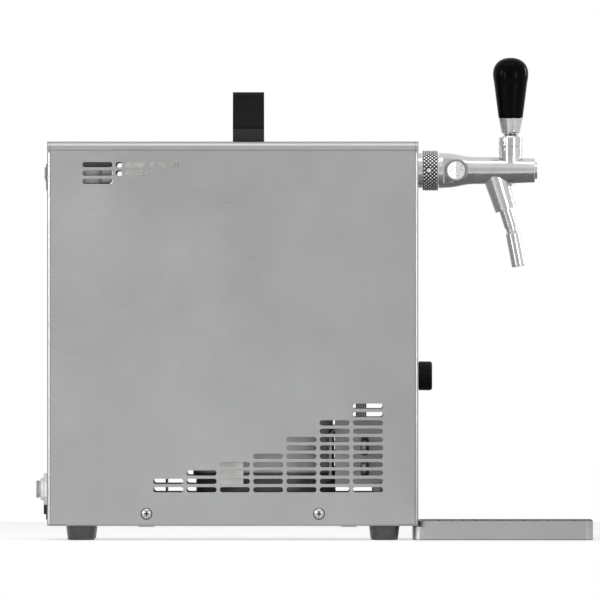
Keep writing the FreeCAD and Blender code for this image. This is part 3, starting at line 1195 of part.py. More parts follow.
def cooling_block():
    half, inside = "block_half", "block_half - insulation"
    rear, front = "block_rear + insulation", "block_front - insulation"
    core = block("core_block", (rear, front), (f"-({inside})", inside),
                 ("core_z", "block_top - insulation_top"))
    stub = rod("core_stub", "stub_radius", "stub_length + 1", (f"{front} - 1", "0", "tap_z"), "x")
    node("cooling_block", fuse("core", core, stub))
    foam = block("foam", ("block_rear", "block_front"), (f"-{half}", half), ("block_base", "block_top"))
    cavity = block("foam_cavity", (rear, front), (f"-({inside})", inside),
                   ("core_z", "block_top - insulation_top"))
    openings = [
        rod("foam_shank_hole", "shank_radius + seam", "insulation + 2", (f"{front} - 1", "0", "tap_z"),
            "x"),
        rod("foam_line_hole", "line_radius + fit", "insulation + 2",
            ("block_rear - 1", "-beer_y", "line_top"), "x"),
        rod("foam_bulb_hole", "capillary_radius + slip", "insulation + 2",
            (f"{front} - 1", "0", "bulb_height"), "x"),
    ]
    node("block_insulation", cut("foam_shell", foam, cavity, *openings))

    half = "shelf_half"
    deck = block("shelf_deck", ("rear + sheet", "front - sheet"), (f"-{half}", half),
                 ("block_base - shelf_sheet", "block_base"))
    flanges = [
        block(f"shelf_flange_{end}", x, (f"-{half}", half), ("block_base - shelf_flange", "block_base"))
        for end, x in (("front", ("front - sheet - shelf_sheet", "front - sheet")),
                       ("rear", ("rear + sheet", "rear + sheet + shelf_sheet")))
    ]
    holes = [
        rod(f"shelf_hole_{name}", f"{radius} + slip", "shelf_sheet + 2",
            (x, y, "block_base - shelf_sheet - 1"))
        for name, radius, x, y in (
            ("beer", "line_radius", "beer_rise", "-beer_y"),
            ("air", "line_radius", "air_rise", "-air_y"),
            ("capillary", "capillary_radius", "capillary_x", "-capillary_y"),
            ("suction", "suction_radius", "compressor_mid", "compressor_radius + pipe_out"),
            ("bulb", "capillary_radius", "bulb_at", "0"))
    ]
    node("block_shelf", cut("shelf", fuse("shelf_blank", deck, *flanges), *holes))


# Air pump


def air_pump():
    motor = rod("pump_motor", "motor_can", "pump_length", ("pump_mid", "-pump_y", "pump_base"))
    head = block("pump_head", ("head_rear", "head_front"), ("-head_near", "-head_far"),
                 ("head_base", "head_top"))
    top = ("head_top", "head_top + shroud_sheet")
    plates = [
        block("bracket_arm", ("rear + sheet", "bracket_front"), ("-bracket_near", "-bracket_middle"),
              top),
        block("bracket_wing", ("bracket_rear", "bracket_front"), ("-bracket_middle - 1", "-head_far"),
              top),
        block("bracket_side", ("rear + sheet", "bracket_front"),
              ("-bracket_near", "shroud_sheet - bracket_near"), ("head_top", "head_top + bracket_lip")),
        block("bracket_foot", ("rear + sheet", "rear + sheet + shroud_sheet"),
              ("-bracket_near", "-bracket_middle"),
              ("head_top - bracket_drop", "head_top + shroud_sheet")),
    ]
    hole = rod("bracket_hole", "motor_can + fit", "4", ("pump_mid", "-pump_y", "head_top - 1"))
    node("pump_bracket", cut("bracket", fuse("bracket_blank", *plates), hole))
    node("air_pump", gather("pump_set", motor, head))


# Lines and wires


def lines():
    beer = swept("beer_line", [
        ("line_end", "-beer_y", "port_height"), ("beer_rise", "-beer_y", "port_height"),
        ("beer_rise", "-beer_y", "line_top"), ("block_rear + insulation", "-beer_y", "line_top"),
    ], "line_radius", "line_bend", "line_bore")
    air = swept("air_line", [
        ("line_end", "-air_y", "port_height"), ("air_rise", "-air_y", "port_height"),
        ("air_rise", "-air_y", "head_base"),
    ], "line_radius", "line_bend", "line_bore")
    node("product_lines", gather("product_line_set", beer, air))

    across, turn = "compressor_radius * cos(45)", "compressor_radius + pipe_out"
    discharge = swept("discharge_line", [
        ("coil_x - coil_out", "-turn_y", "coil_top"), ("turn_x", "-turn_y", "coil_top"),
        ("turn_x", "-turn_y", "discharge_height"),
        (f"compressor_mid + {across}", f"-({across})", "discharge_height"),
    ], "pipe_radius", "pipe_bend")
    liquid = swept("liquid_line", [
        ("coil_x - coil_out", "turn_y", COIL_Z[-1]), ("turn_x", "turn_y", COIL_Z[-1]),
        ("turn_x", "turn_y", "pipe_low"),
        ("turn_x", "drier_y", "pipe_low"), ("drier_x", "drier_y", "pipe_low"),
    ], "pipe_radius", "pipe_bend")
    suction = swept("suction_line", [
        ("compressor_mid", turn, "block_base"), ("compressor_mid", turn, "suction_height"),
        ("compressor_mid", "can_radius", "suction_height"),
    ], "suction_radius", "pipe_bend")
    capillary = swept("capillary", [
        ("drier_x - drier_length", "drier_y", "pipe_low"), ("capillary_turn", "drier_y", "pipe_low"),
        ("capillary_turn", "-capillary_y", "pipe_low"), ("capillary_x", "-capillary_y", "pipe_low"),
        ("capillary_x", "-capillary_y", "block_base"),
    ], "capillary_radius", "capillary_bend")
    drier = turned("drier", [
        ("0", "0"), ("pipe_radius + 1", "0"), ("drier_radius", "drier_cone"),
        ("drier_radius", "drier_length - drier_cone"),
        ("pipe_radius", "drier_length"), ("0", "drier_length"),
    ], ("drier_x", "drier_y", "pipe_low"), "-x")
    node("refrigerant_lines", gather("pipes", discharge, liquid, suction, capillary, drier))

    strands = []
    for i in range(SIZES["wires"]):
        step = f"({i} - (wires - 1) / 2) * wire_pitch"
        x, y, z = f"harness_x + {step}", f"switch_y - {step}", f"harness_top + {step}"
        strands.append(swept(f"wire_{i}", [
            (x, "harness_y", "condenser_top - clip_thick"), (x, "harness_y", z),
            ("harness_turn", "harness_y", z),
            ("harness_turn", y, z), ("harness_turn", y, "switch_height"),
            ("rear + housing_depth", y, "switch_height"),
        ], "wire_radius", "wire_bend"))
    clip = block("harness_clip", ("harness_x - clip_half", "harness_x + clip_half"),
                 ("condenser_half + shroud_sheet", "harness_y + wire_radius"),
                 ("condenser_top - clip_thick", "condenser_top"))
    node("wiring_harness", fuse("harness", clip, *strands))


# Whole machine


def rear_cutouts():
    """Openings in the rear panel, in its own turned frame."""
    tall = "(bezel_height / 2 - bezel_cover + seam)"
    wide = "(bezel_width / 2 - bezel_cover + seam)"
    cutouts = [
        block(f"switch_cutout_{side}", ("-4", "2"), (f"{y} - {wide}", f"{y} + {wide}"),
              (f"switch_height - {tall}", f"switch_height + {tall}"))
        for side, y in (("near", "switch_y"), ("far", "-switch_y"))
    ]
    wide, tall = "(inlet_body / 2 + seam)", "(inlet_rise / 2 + seam)"
    middle = "inlet_base + inlet_height / 2"
    cutouts.append(block("inlet_cutout", ("-4", "2"), (f"-inlet_y - {wide}", f"{wide} - inlet_y"),
                         (f"{middle} - {tall}", f"{middle} + {tall}")))
    for name, y in (("beer", "beer_y"), ("air", "air_y")):
        cutouts.append(through(f"{name}_port_hole", "port_thread + seam", y, "port_height"))
    return cutouts


base_pan()
end_panel("front_panel", "front", "z", [
    through("shank_hole", "shank_radius + seam", "0", "tap_z"),
    through("dial_hole", "bushing_radius + seam", "0", "dial_height"),
])
end_panel("rear_panel", "rear", "back", rear_cutouts())
wrapper_cover()
cabinet_fasteners()
carry_handle()
shank()
tap_body()
compensator()
lever()
plunger()
spout()
drip_tray()
thermostat()
switches()
rear_connectors()
mains_inlet()
compressor()
condenser()
fans()
cooling_block()
air_pump()
lines()
doc.recompute()

for item in doc.Objects:
    if "Invalid" in item.State or "Error" in item.State:
        raise RuntimeError(f"{item.Name} did not compute: {item.State}")
for name, item in NODES.items():
    if item.Label != name or item.Shape.isNull() or not item.Shape.isValid():
        raise RuntimeError(f"{name} has no sound shape")

os.makedirs("parts", exist_ok=True)
for name, item in NODES.items():
    item.Shape.exportStep(f"parts/{name}.step")
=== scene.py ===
import math

import bpy
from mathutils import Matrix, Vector

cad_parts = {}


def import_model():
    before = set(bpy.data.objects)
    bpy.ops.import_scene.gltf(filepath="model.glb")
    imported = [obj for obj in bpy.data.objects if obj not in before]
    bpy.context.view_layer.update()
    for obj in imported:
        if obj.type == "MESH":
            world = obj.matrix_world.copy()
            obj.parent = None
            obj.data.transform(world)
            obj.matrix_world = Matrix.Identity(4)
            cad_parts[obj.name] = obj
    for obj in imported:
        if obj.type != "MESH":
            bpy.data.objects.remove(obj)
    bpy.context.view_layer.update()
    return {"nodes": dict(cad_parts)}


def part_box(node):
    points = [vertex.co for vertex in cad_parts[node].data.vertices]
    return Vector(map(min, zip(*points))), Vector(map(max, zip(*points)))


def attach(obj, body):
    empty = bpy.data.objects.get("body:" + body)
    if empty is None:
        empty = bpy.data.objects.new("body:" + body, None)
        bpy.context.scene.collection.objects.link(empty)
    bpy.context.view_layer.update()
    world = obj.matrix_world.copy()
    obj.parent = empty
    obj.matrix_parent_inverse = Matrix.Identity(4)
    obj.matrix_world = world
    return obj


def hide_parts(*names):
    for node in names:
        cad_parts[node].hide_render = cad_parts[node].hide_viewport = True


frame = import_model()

MM = 0.001
SCENE = bpy.context.scene


def edges_of(node):
    """Lowest and highest corner of a CAD node, in millimetres."""
    low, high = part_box(node)
    return low / MM, high / MM


# Places read from the frame, in millimetres
PANEL = edges_of("wrapper_cover")
FRONT, REAR, TOP = PANEL[1].x, PANEL[0].x, PANEL[1].z
COLLAR = edges_of("coupling_collar")
TAP_Z = (COLLAR[0].z + COLLAR[1].z) / 2
DIAL = edges_of("thermostat_knob")
DIAL_Z = (DIAL[0].z + DIAL[1].z) / 2
KNOB = edges_of("lever_knob")
LEVER_X = (KNOB[0].x + KNOB[1].x) / 2
HANDLE = edges_of("carry_handle")


# Materials

class Finish:
    """A node material whose colour, roughness and relief all come from noise in object space."""

    def __init__(self, name, metallic=0.0, specular=0.5, coat=0.0, coat_rough=0.1):
        self.mat = bpy.data.materials.new(name)
        self.mat.use_nodes = True
        self.tree = self.mat.node_tree
        self.bsdf = self.tree.nodes["Principled BSDF"]
        self.bsdf.inputs["Metallic"].default_value = metallic
        self.bsdf.inputs["Specular IOR Level"].default_value = specular
        self.bsdf.inputs["Coat Weight"].default_value = coat
        self.bsdf.inputs["Coat Roughness"].default_value = coat_rough
        self.coords = self.add("ShaderNodeTexCoord").outputs["Object"]

    def add(self, kind, **settings):
        node = self.tree.nodes.new(kind)
        for key, value in settings.items():
            setattr(node, key, value)
        return node

    def feed(self, socket, value):
        if isinstance(value, bpy.types.NodeSocket):
            self.tree.links.new(value, socket)
        else:
            socket.default_value = value

    def maths(self, operation, a, b=0.0, clamp=False):
        node = self.add("ShaderNodeMath", operation=operation, use_clamp=clamp)
        self.feed(node.inputs[0], a)
        self.feed(node.inputs[1], b)
        return node.outputs[0]

    def noise(self, scale, detail=3.0, rough=0.55, stretch=(1, 1, 1)):
        """Noise of so many cells a metre, stretched along an axis where its factor is small."""
        mapping = self.add("ShaderNodeMapping")
        mapping.inputs["Scale"].default_value = [scale * s for s in stretch]
        self.feed(mapping.inputs["Vector"], self.coords)
        noise = self.add("ShaderNodeTexNoise")
        noise.inputs["Scale"].default_value = 1.0
        noise.inputs["Detail"].default_value = detail
        noise.inputs["Roughness"].default_value = rough
        self.feed(noise.inputs["Vector"], mapping.outputs["Vector"])
        return noise.outputs["Fac"]

    def cells(self, scale, stretch=(1, 1, 1)):
        mapping = self.add("ShaderNodeMapping")
        mapping.inputs["Scale"].default_value = [scale * s for s in stretch]
        self.feed(mapping.inputs["Vector"], self.coords)
        cells = self.add("ShaderNodeTexVoronoi")
        cells.inputs["Scale"].default_value = 1.0
        self.feed(cells.inputs["Vector"], mapping.outputs["Vector"])
        return cells.outputs["Distance"]

    def span(self, value, low, high, start=0.3, end=0.7):
        node = self.add("ShaderNodeMapRange")
        for socket, item in zip(node.inputs, (value, start, end, low, high)):
            self.feed(socket, item)
        return node.outputs[0]

    def mix(self, factor, a, b):
        node = self.add("ShaderNodeMix", data_type="RGBA", blend_type="MIX")
        self.feed(node.inputs[0], factor)
        for socket, item in ((node.inputs[6], a), (node.inputs[7], b)):
            self.feed(socket, (*item, 1.0) if isinstance(item, tuple) else item)
        return node.outputs[2]

    def edge(self, radius):
        """How far a point lies on an edge, and the normal of that edge rounded over."""
        bevel = self.add("ShaderNodeBevel", samples=4)
        bevel.inputs["Radius"].default_value = radius
        flat = self.add("ShaderNodeNewGeometry").outputs["Normal"]
        dot = self.add("ShaderNodeVectorMath", operation="DOT_PRODUCT")
        self.feed(dot.inputs[0], bevel.outputs["Normal"])
        self.feed(dot.inputs[1], flat)
        return self.span(dot.outputs["Value"], 1.0, 0.0, 0.86, 0.99), bevel.outputs["Normal"]

    def finish(self, colour, rough, height, depth, strength=0.5, normal=None):
        self.feed(self.bsdf.inputs["Base Color"], (*colour, 1.0) if isinstance(colour, tuple) else colour)
        self.feed(self.bsdf.inputs["Roughness"], rough)
        bump = self.add("ShaderNodeBump")
        bump.inputs["Strength"].default_value = strength
        bump.inputs["Distance"].default_value = depth
        self.feed(bump.inputs["Height"], height)
        if normal is not None:
            self.feed(bump.inputs["Normal"], normal)
        self.feed(self.bsdf.inputs["Normal"], bump.outputs["Normal"])
        return self.mat


def shade(colour, factor):
    return tuple(min(1.0, c * factor) for c in colour)


def brushed(name, colour, rough, grain, blotch=0.018, depth=6e-6, edge=0.0006, lift=1.25, marks=()):
    """Brushed sheet: fine scratches along one axis, soft cloudy patches and paler edges.

    Marks are thin dark lines of painted shade along folds and rims: (axis, place, half width, factor) in
    millimetres.
    """
    f = Finish(name, metallic=1.0)
    scratch = f.noise(2600, 4, 0.7, grain)
    fine = f.noise(9000, 2, 0.6, grain)
    cloud = f.noise(17, 3, 0.5)
    smear = f.noise(60, 4, 0.6, [1 if g < 1 else 0.35 for g in grain])
    mask, normal = f.edge(edge)
    tone = f.mix(f.span(cloud, 0, 1, 0.35, 0.65), shade(colour, 1 - blotch), shade(colour, 1 + blotch))
    tone = f.mix(f.span(scratch, 0.0, 0.5), tone, shade(colour, 1.12))
    tone = f.mix(f.span(smear, 0.0, 0.25, 0.5, 0.75), tone, shade(colour, 0.9))
    tone = f.mix(mask, tone, shade(colour, lift))
    if marks:
        split = f.add("ShaderNodeSeparateXYZ")
        f.feed(split.inputs[0], f.coords)
    # each mark darkens a thin band across one axis: painted shade along a fold or rim
    for axis, place, half, factor in marks:
        line = f.add("ShaderNodeMath", operation="COMPARE")
        f.feed(line.inputs[0], split.outputs[axis])
        line.inputs[1].default_value, line.inputs[2].default_value = place * MM, half * MM
        faint = f.maths("MULTIPLY", line.outputs[0], f.span(smear, 1.0, 0.75))
        tone = f.mix(faint, tone, shade(colour, factor))
    value = f.maths("ADD", f.span(scratch, rough - 0.05, rough + 0.07), f.span(cloud, -0.03, 0.04))
    relief = f.maths("ADD", scratch, f.maths("MULTIPLY", fine, 0.5))
    return f.finish(tone, value, relief, depth, 0.35, normal)


def turned_metal(name, colour, rough, axis=(1, 0, 0), polish=0.5, depth=2e-6, dull=0.88):
    """Polished turned metal: faint tool rings, swirl marks and a little dulling."""
    f = Finish(name, metallic=1.0)
    rings = f.noise(3500, 2, 0.5, [1.0 if a else 0.03 for a in axis])
    swirl = f.noise(420, 5, 0.65)
    haze = f.noise(70, 3, 0.5)
    mask, normal = f.edge(0.00025)
    tone = f.mix(f.span(haze, 0, 1), shade(colour, dull), colour)
    tone = f.mix(f.span(swirl, 0.0, 0.2, 0.5, 0.8), tone, shade(colour, 0.8))
    tone = f.mix(mask, tone, shade(colour, 1.15))
    value = f.maths("ADD", f.span(swirl, rough * (1 - polish), rough * (1 + polish)), f.span(haze, 0, 0.03))
    return f.finish(tone, value, rings, depth, 0.25, normal)


def moulded(name, colour, rough, pits=1800, depth=2.5e-5, specular=0.4, coat=0.0, edge_wear_and_painted_light=1.8, edge=0.0004):
    """Moulded plastic: fine spark texture, uneven sheen, and edges scaled by one factor: rubbed wear when a
    little paler, painted shade when darker, painted highlight when far paler.
    """
    f = Finish(name, specular=specular, coat=coat)
    grain = f.noise(pits, 3, 0.6)
    dust = f.noise(260, 4, 0.6)
    cloud = f.noise(40, 3, 0.5)
    mask, normal = f.edge(edge)
    tone = f.mix(f.span(cloud, 0, 1), shade(colour, 0.85), shade(colour, 1.15))
    tone = f.mix(f.span(dust, 0.0, 0.35, 0.52, 0.72), tone, shade(colour, 1.5))
    # edge colour by the factor: paler for rubbed wear, darker as painted shade, far paler as painted highlight
    tone = f.mix(f.maths("MULTIPLY", mask, 0.6), tone, shade(colour, edge_wear_and_painted_light))
    value = f.maths("ADD", f.span(grain, rough - 0.07, rough + 0.08), f.span(cloud, -0.04, 0.05))
    return f.finish(tone, value, grain, depth, 0.4, normal)


def painted(name, colour, rough, peel=900, depth=1.5e-5, chip=(0.4, 0.39, 0.37), metallic=0.0):
    """Enamelled or plated steel: orange peel, stains and bare metal at the edges."""
    f = Finish(name, metallic=metallic, specular=0.45)
    skin = f.noise(peel, 3, 0.5)
    stain = f.noise(55, 5, 0.6)
    nick = f.noise(700, 3, 0.7)
    mask, normal = f.edge(0.0005)
    tone = f.mix(f.span(stain, 0, 1), shade(colour, 0.78), shade(colour, 1.18))
    worn = f.maths("MULTIPLY", mask, f.span(nick, 0, 0.9, 0.5, 0.62), clamp=True)
    tone = f.mix(worn, tone, chip)
    value = f.maths("ADD", f.span(stain, rough - 0.08, rough + 0.1), f.span(skin, -0.03, 0.03))
    return f.finish(tone, value, skin, depth, 0.35, normal)


def zinc(name, colour, rough, scale=260):
    """Zinc-plated sheet with its pale and dark crystal patches."""
    f = Finish(name, metallic=0.9)
    spangle = f.cells(scale)
    haze = f.noise(120, 4, 0.6)
    mask, normal = f.edge(0.0004)
    tone = f.mix(f.span(spangle, 0, 1, 0.1, 0.8), shade(colour, 0.75), shade(colour, 1.25))
    tone = f.mix(f.span(haze, 0.0, 0.5), tone, shade(colour, 0.9))
    tone = f.mix(mask, tone, shade(colour, 1.4))
    value = f.maths("ADD", f.span(spangle, rough - 0.1, rough + 0.1, 0.1, 0.8), f.span(haze, -0.04, 0.05))
    return f.finish(tone, value, haze, 1e-5, 0.3, normal)


def rubber(name, colour, rough=0.75):
    f = Finish(name, specular=0.6)
    bloom = f.noise(150, 4, 0.6)
    grain = f.noise(2200, 3, 0.6)
    mask, normal = f.edge(0.0006)
    tone = f.mix(f.span(bloom, 0, 1), shade(colour, 0.8), shade(colour, 1.35))
    tone = f.mix(f.maths("MULTIPLY", mask, 0.5), tone, shade(colour, 1.7))
    value = f.span(bloom, rough - 0.1, rough + 0.1)
    return f.finish(tone, value, grain, 3e-5, 0.4, normal)


def foam(name, colour):
    """Moulded bead foam: packed round beads with dark seams between them."""
    f = Finish(name, specular=0.2)
    beads = f.cells(330)
    cloud = f.noise(30, 3, 0.5)
    tone = f.mix(f.span(beads, 0, 1, 0.25, 0.7), shade(colour, 1.0), shade(colour, 0.78))
    tone = f.mix(f.span(cloud, 0.0, 0.5), tone, shade(colour, 0.92))
    return f.finish(tone, f.span(cloud, 0.75, 0.9), f.maths("SUBTRACT", 1.0, beads), 4e-4, 0.5)


STEEL = (0.405, 0.41, 0.41)
# Painted shade: dark lines along the cover's top bend and its front and rear folds, and along the end panels'
# rims
FOLD_SHADE_LINES = [("Z", TOP - 6.7, 0.38, 0.62), ("Z", TOP - 3.9, 0.45, 0.78), ("Z", TOP - 0.25, 0.45, 0.55),
         ("X", REAR + 2.3, 0.35, 0.62), ("X", FRONT - 2.3, 0.35, 0.62),
         ("X", REAR + 0.2, 0.3, 0.5), ("X", FRONT - 0.2, 0.3, 0.5)]
RIM_SHADE_LINES = [("X", REAR + 0.35, 0.25, 0.35), ("X", FRONT - 0.35, 0.25, 0.35)]
MATS = {
    "side_sheet": brushed("stainless_side", STEEL, 0.34, (0.02, 1, 1), marks=FOLD_SHADE_LINES),
    "end_sheet": brushed("stainless_end", shade(STEEL, 1.15), 0.3, (1, 1, 0.02), marks=RIM_SHADE_LINES),
    "pan_sheet": brushed("stainless_pan", shade(STEEL, 0.9), 0.38, (0.02, 1, 1)),
    # the tray's marks are painted shade: dark lines along its top rim, its foot and one end
    "tray_sheet": brushed("stainless_tray", shade(STEEL, 1.22), 0.36, (0.02, 1, 1), 0.03,
                          marks=[("Z", 14.6, 0.16, 0.5), ("Z", 0.25, 0.4, 0.3), ("X", 210.6, 0.3, 0.4)]),
    "grid_sheet": brushed("stainless_grid", shade(STEEL, 1.3), 0.3, (1, 0.02, 1), 0.05),
    "polished": turned_metal("polished_steel", (0.62, 0.62, 0.62), 0.17),
    "polished_up": turned_metal("polished_upright", (0.58, 0.58, 0.58), 0.13, (0, 0, 1)),
    "knurled": turned_metal("knurled_steel", (0.92, 0.92, 0.92), 0.28),
    # near black steel for the knurl's grooves and the spanner seat's rim: painted shade
    "groove": turned_metal("knurl_groove_painted_shade", (0.012, 0.012, 0.012), 0.5),
    "fitting_steel": turned_metal("fitting_steel", (0.9, 0.9, 0.9), 0.3, (0, 1, 0)),
    "dial_ring": turned_metal("dial_ring_steel", (0.34, 0.34, 0.34), 0.22, (0, 1, 0)),
    "dial_face": turned_metal("dial_face_steel", (0.72, 0.72, 0.72), 0.26, (0, 1, 0)),
    "screw": turned_metal("screw_steel", (0.5, 0.5, 0.5), 0.24, (0, 1, 0)),
    "plated": zinc("zinc_plate", (0.45, 0.46, 0.46), 0.42),
    "dark_plate": painted("dark_plate", (0.3, 0.305, 0.31), 0.5),
    "pump_enamel": painted("pump_enamel", (0.15, 0.15, 0.155), 0.3),
    # near black: print for the scale ticks and switch symbols, painted shade in the side screws' cross
    # recesses and round their heads
    "recess": painted("dark_print_and_recess_shade", (0.05, 0.05, 0.05), 0.5, 1500, 4e-6, (0.12, 0.12, 0.12), 0.6),
    "bright": turned_metal("bright_facet", (0.93, 0.93, 0.93), 0.2, (0, 1, 0)),
    "black_enamel": painted("black_enamel", (0.075, 0.075, 0.078), 0.35),
    "grey_enamel": painted("grey_enamel", (0.46, 0.46, 0.465), 0.4),
    "phenolic": moulded("black_phenolic", (0.0015, 0.0015, 0.0015), 0.1, 500, 1e-6, 0.035, 0.0, 2.0),
    "nylon": moulded("black_nylon", (0.0065, 0.0065, 0.0065), 0.45, 2200, 3e-5, 0.09),
    # three times paler than the strap's nylon, with paler rims: painted light on the lower band of the
    # handle's legs
    "socket": moulded("socket_nylon_painted_light", (0.022, 0.022, 0.022), 0.4, 2200, 2e-5, 0.16, 0, 2.6, 0.0006),
    # edges six times paler: painted highlight along the dial's flutes and rims
    "dial_plastic": moulded("dial_plastic", (0.0035, 0.0035, 0.0035), 0.3, 2600, 1e-5, 0.09, 0, 6.0, 0.0003),
    "switch_plastic": moulded("switch_plastic", (0.012, 0.012, 0.013), 0.3, 1500, 1e-5, 0.4),
    "bezel_plastic": moulded("bezel_plastic", (0.2, 0.2, 0.2), 0.3, 1500, 1e-5, 0.4),
    "rocker_plastic": moulded("rocker_plastic", (0.4, 0.4, 0.4), 0.28, 1500, 1e-5, 0.4, 0, 1.2),
    # edge factors far below 1: dark outlines at the fittings' and collets' edges are painted shade
    "fitting": moulded("fitting_plastic", (0.8, 0.8, 0.8), 0.3, 1400, 1.2e-5, 0.5, 0, 0.02, 0.0011),
    "collet": moulded("collet_plastic", (0.42, 0.42, 0.43), 0.32, 1400, 1.2e-5, 0.5, 0, 0.1, 0.0011),
    "pale": moulded("pale_plastic", (0.74, 0.73, 0.7), 0.4, 1400, 1.5e-5, 0.45, 0, 1.1),
    "hose": moulded("hose_plastic", (0.5, 0.51, 0.52), 0.25, 900, 8e-6, 0.5, 0.2, 1.2),
    "wire": moulded("wire_plastic", (0.5, 0.5, 0.505), 0.4, 1500, 8e-6, 0.4, 0, 1.2),
    "mark": moulded("mark_paint", (0.75, 0.75, 0.73), 0.5, 2500, 5e-6, 0.3, 0, 1.05),
    "rubber": rubber("dark_rubber", (0.042, 0.042, 0.044), 0.3),
    "seal": rubber("seal_rubber", (0.02, 0.02, 0.021), 0.55),
    "foam": foam("bead_foam", (0.88, 0.87, 0.84)),
    "core": turned_metal("cast_aluminium", (0.6, 0.61, 0.62), 0.4, (1, 0, 0), 0.3, 8e-6),
    "fins": brushed("fin_aluminium", (0.5, 0.5, 0.51), 0.35, (0.05, 1, 1), 0.12),
    "copper": turned_metal("drawn_copper", (0.40, 0.37, 0.35), 0.4, (0, 1, 0)),
}
NODE_FINISH = {
    "side_sheet": ["wrapper_cover"], "end_sheet": ["front_panel", "rear_panel"], "pan_sheet": ["base_pan"],
    "tray_sheet": ["drip_tray"], "grid_sheet": ["drip_grid"],
    "polished": ["tap_body", "tap_end_cap", "tap_shank", "collar_keeper", "valve_plunger", "shank_nut"],
    "polished_up": ["bonnet_nut", "lever_ferrule", "lever_pin", "spout_nozzle", "spout_sleeve"],
    "knurled": ["coupling_collar"], "dial_ring": ["compensator_ring"], "dial_face": ["compensator_knob"],
    "screw": ["cabinet_screws", "compressor_bolts", "mains_inlet_pins"],
    "plated": ["block_shelf", "compressor_plate"], "dark_plate": ["condenser_shroud"],
    "pump_enamel": ["pump_bracket"], "black_enamel": ["compressor_lower_shell"],
    "grey_enamel": ["compressor_upper_shell"],
    "phenolic": ["lever_knob"], "nylon": ["carry_handle", "fan_frames", "fan_rotor_near", "fan_rotor_far"],
    "dial_plastic": ["thermostat_knob"],
    "switch_plastic": ["mains_inlet"], "bezel_plastic": ["switch_housings"],
    "rocker_plastic": ["cooling_rocker", "pump_rocker"],
    "fitting": ["beer_inlet_fitting", "air_outlet_fitting", "connector_nuts"],
    "collet": ["beer_inlet_collet", "air_outlet_collet"],
    "pale": ["compressor_terminal_cover", "air_pump", "thermostat_body"],
    "hose": ["product_lines"], "wire": ["wiring_harness"], "rubber": ["rubber_feet", "compressor_grommets"],
    "seal": ["tap_gasket", "plunger_seals"], "foam": ["block_insulation"],
    "core": ["cooling_block", "compensator_cone"], "fins": ["condenser_fins"],
    "copper": ["condenser_coil", "refrigerant_lines"],
}
for finish, names in NODE_FINISH.items():
    for name in names:
        node = frame["nodes"][name]
        node.data.materials.clear()
        node.data.materials.append(MATS[finish])


# Piece makers

def mesh_piece(name, verts, faces, finish, body, node=None, smooth=35):
    """A mesh in millimetres that rides on a body, smooth but for its sharp edges."""
    mesh = bpy.data.meshes.new(name)
    mesh.from_pydata([Vector(v) * MM for v in verts], [], faces)
    mesh.validate()
    mesh.materials.append(MATS[finish])
    piece = bpy.data.objects.new(name, mesh)
    SCENE.collection.objects.link(piece)
    for polygon in mesh.polygons:
        polygon.use_smooth = True
    mesh.set_sharp_from_angle(angle=math.radians(smooth))
    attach(piece, body)
    if node:
        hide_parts(node)
    return piece


def lathe(rows, around, place, radius_at=None):
    """Verts and faces of a closed turned form from (radius, height) rows; place maps it to the frame."""
    verts, faces = [], []
    for k, (radius, height) in enumerate(rows):
        for i in range(around):
            angle = 2 * math.pi * i / around
            r = radius_at(k, radius, height, angle) if radius_at else radius
            verts.append(place(r * math.cos(angle), r * math.sin(angle), height))
    for k in range(len(rows) - 1):
        for i in range(around):
            a, b = k * around + i, k * around + (i + 1) % around
            faces.append((a, b, b + around, a + around))
    faces.append(tuple(reversed(range(around))))
    last = (len(rows) - 1) * around
    faces.append(tuple(range(last, last + around)))
    return verts, faces


def tube(rows, around, place, radius_at=None):
    """Like lathe, but its last row joins the first, so that it has a bore."""
    verts, faces = lathe(rows, around, place, radius_at)
    faces = faces[:-2]
    last = (len(rows) - 1) * around
    faces += [(last + i, last + (i + 1) % around, (i + 1) % around, i) for i in range(around)]
    return verts, faces


def along_x(x, z):
    """Places a turned form's height along +X from a point on the middle plane."""
    return lambda u, v, h: (x + h, u, z + v)


def slab_faces(count):
    """Faces of a solid between two matching outlines of so many points, one after the other in its verts."""
    faces = [tuple(range(count)), tuple(reversed(range(count, 2 * count)))]
    return faces + [(i, count + i, count + (i + 1) % count, (i + 1) % count) for i in range(count)]


# Faces of a bar whose first four verts are one end and last four the other
BAR_FACES = ((0, 1, 2, 3), (7, 6, 5, 4), (0, 4, 5, 1), (1, 5, 6, 2), (2, 6, 7, 3), (3, 7, 4, 0))


# Knurled collar

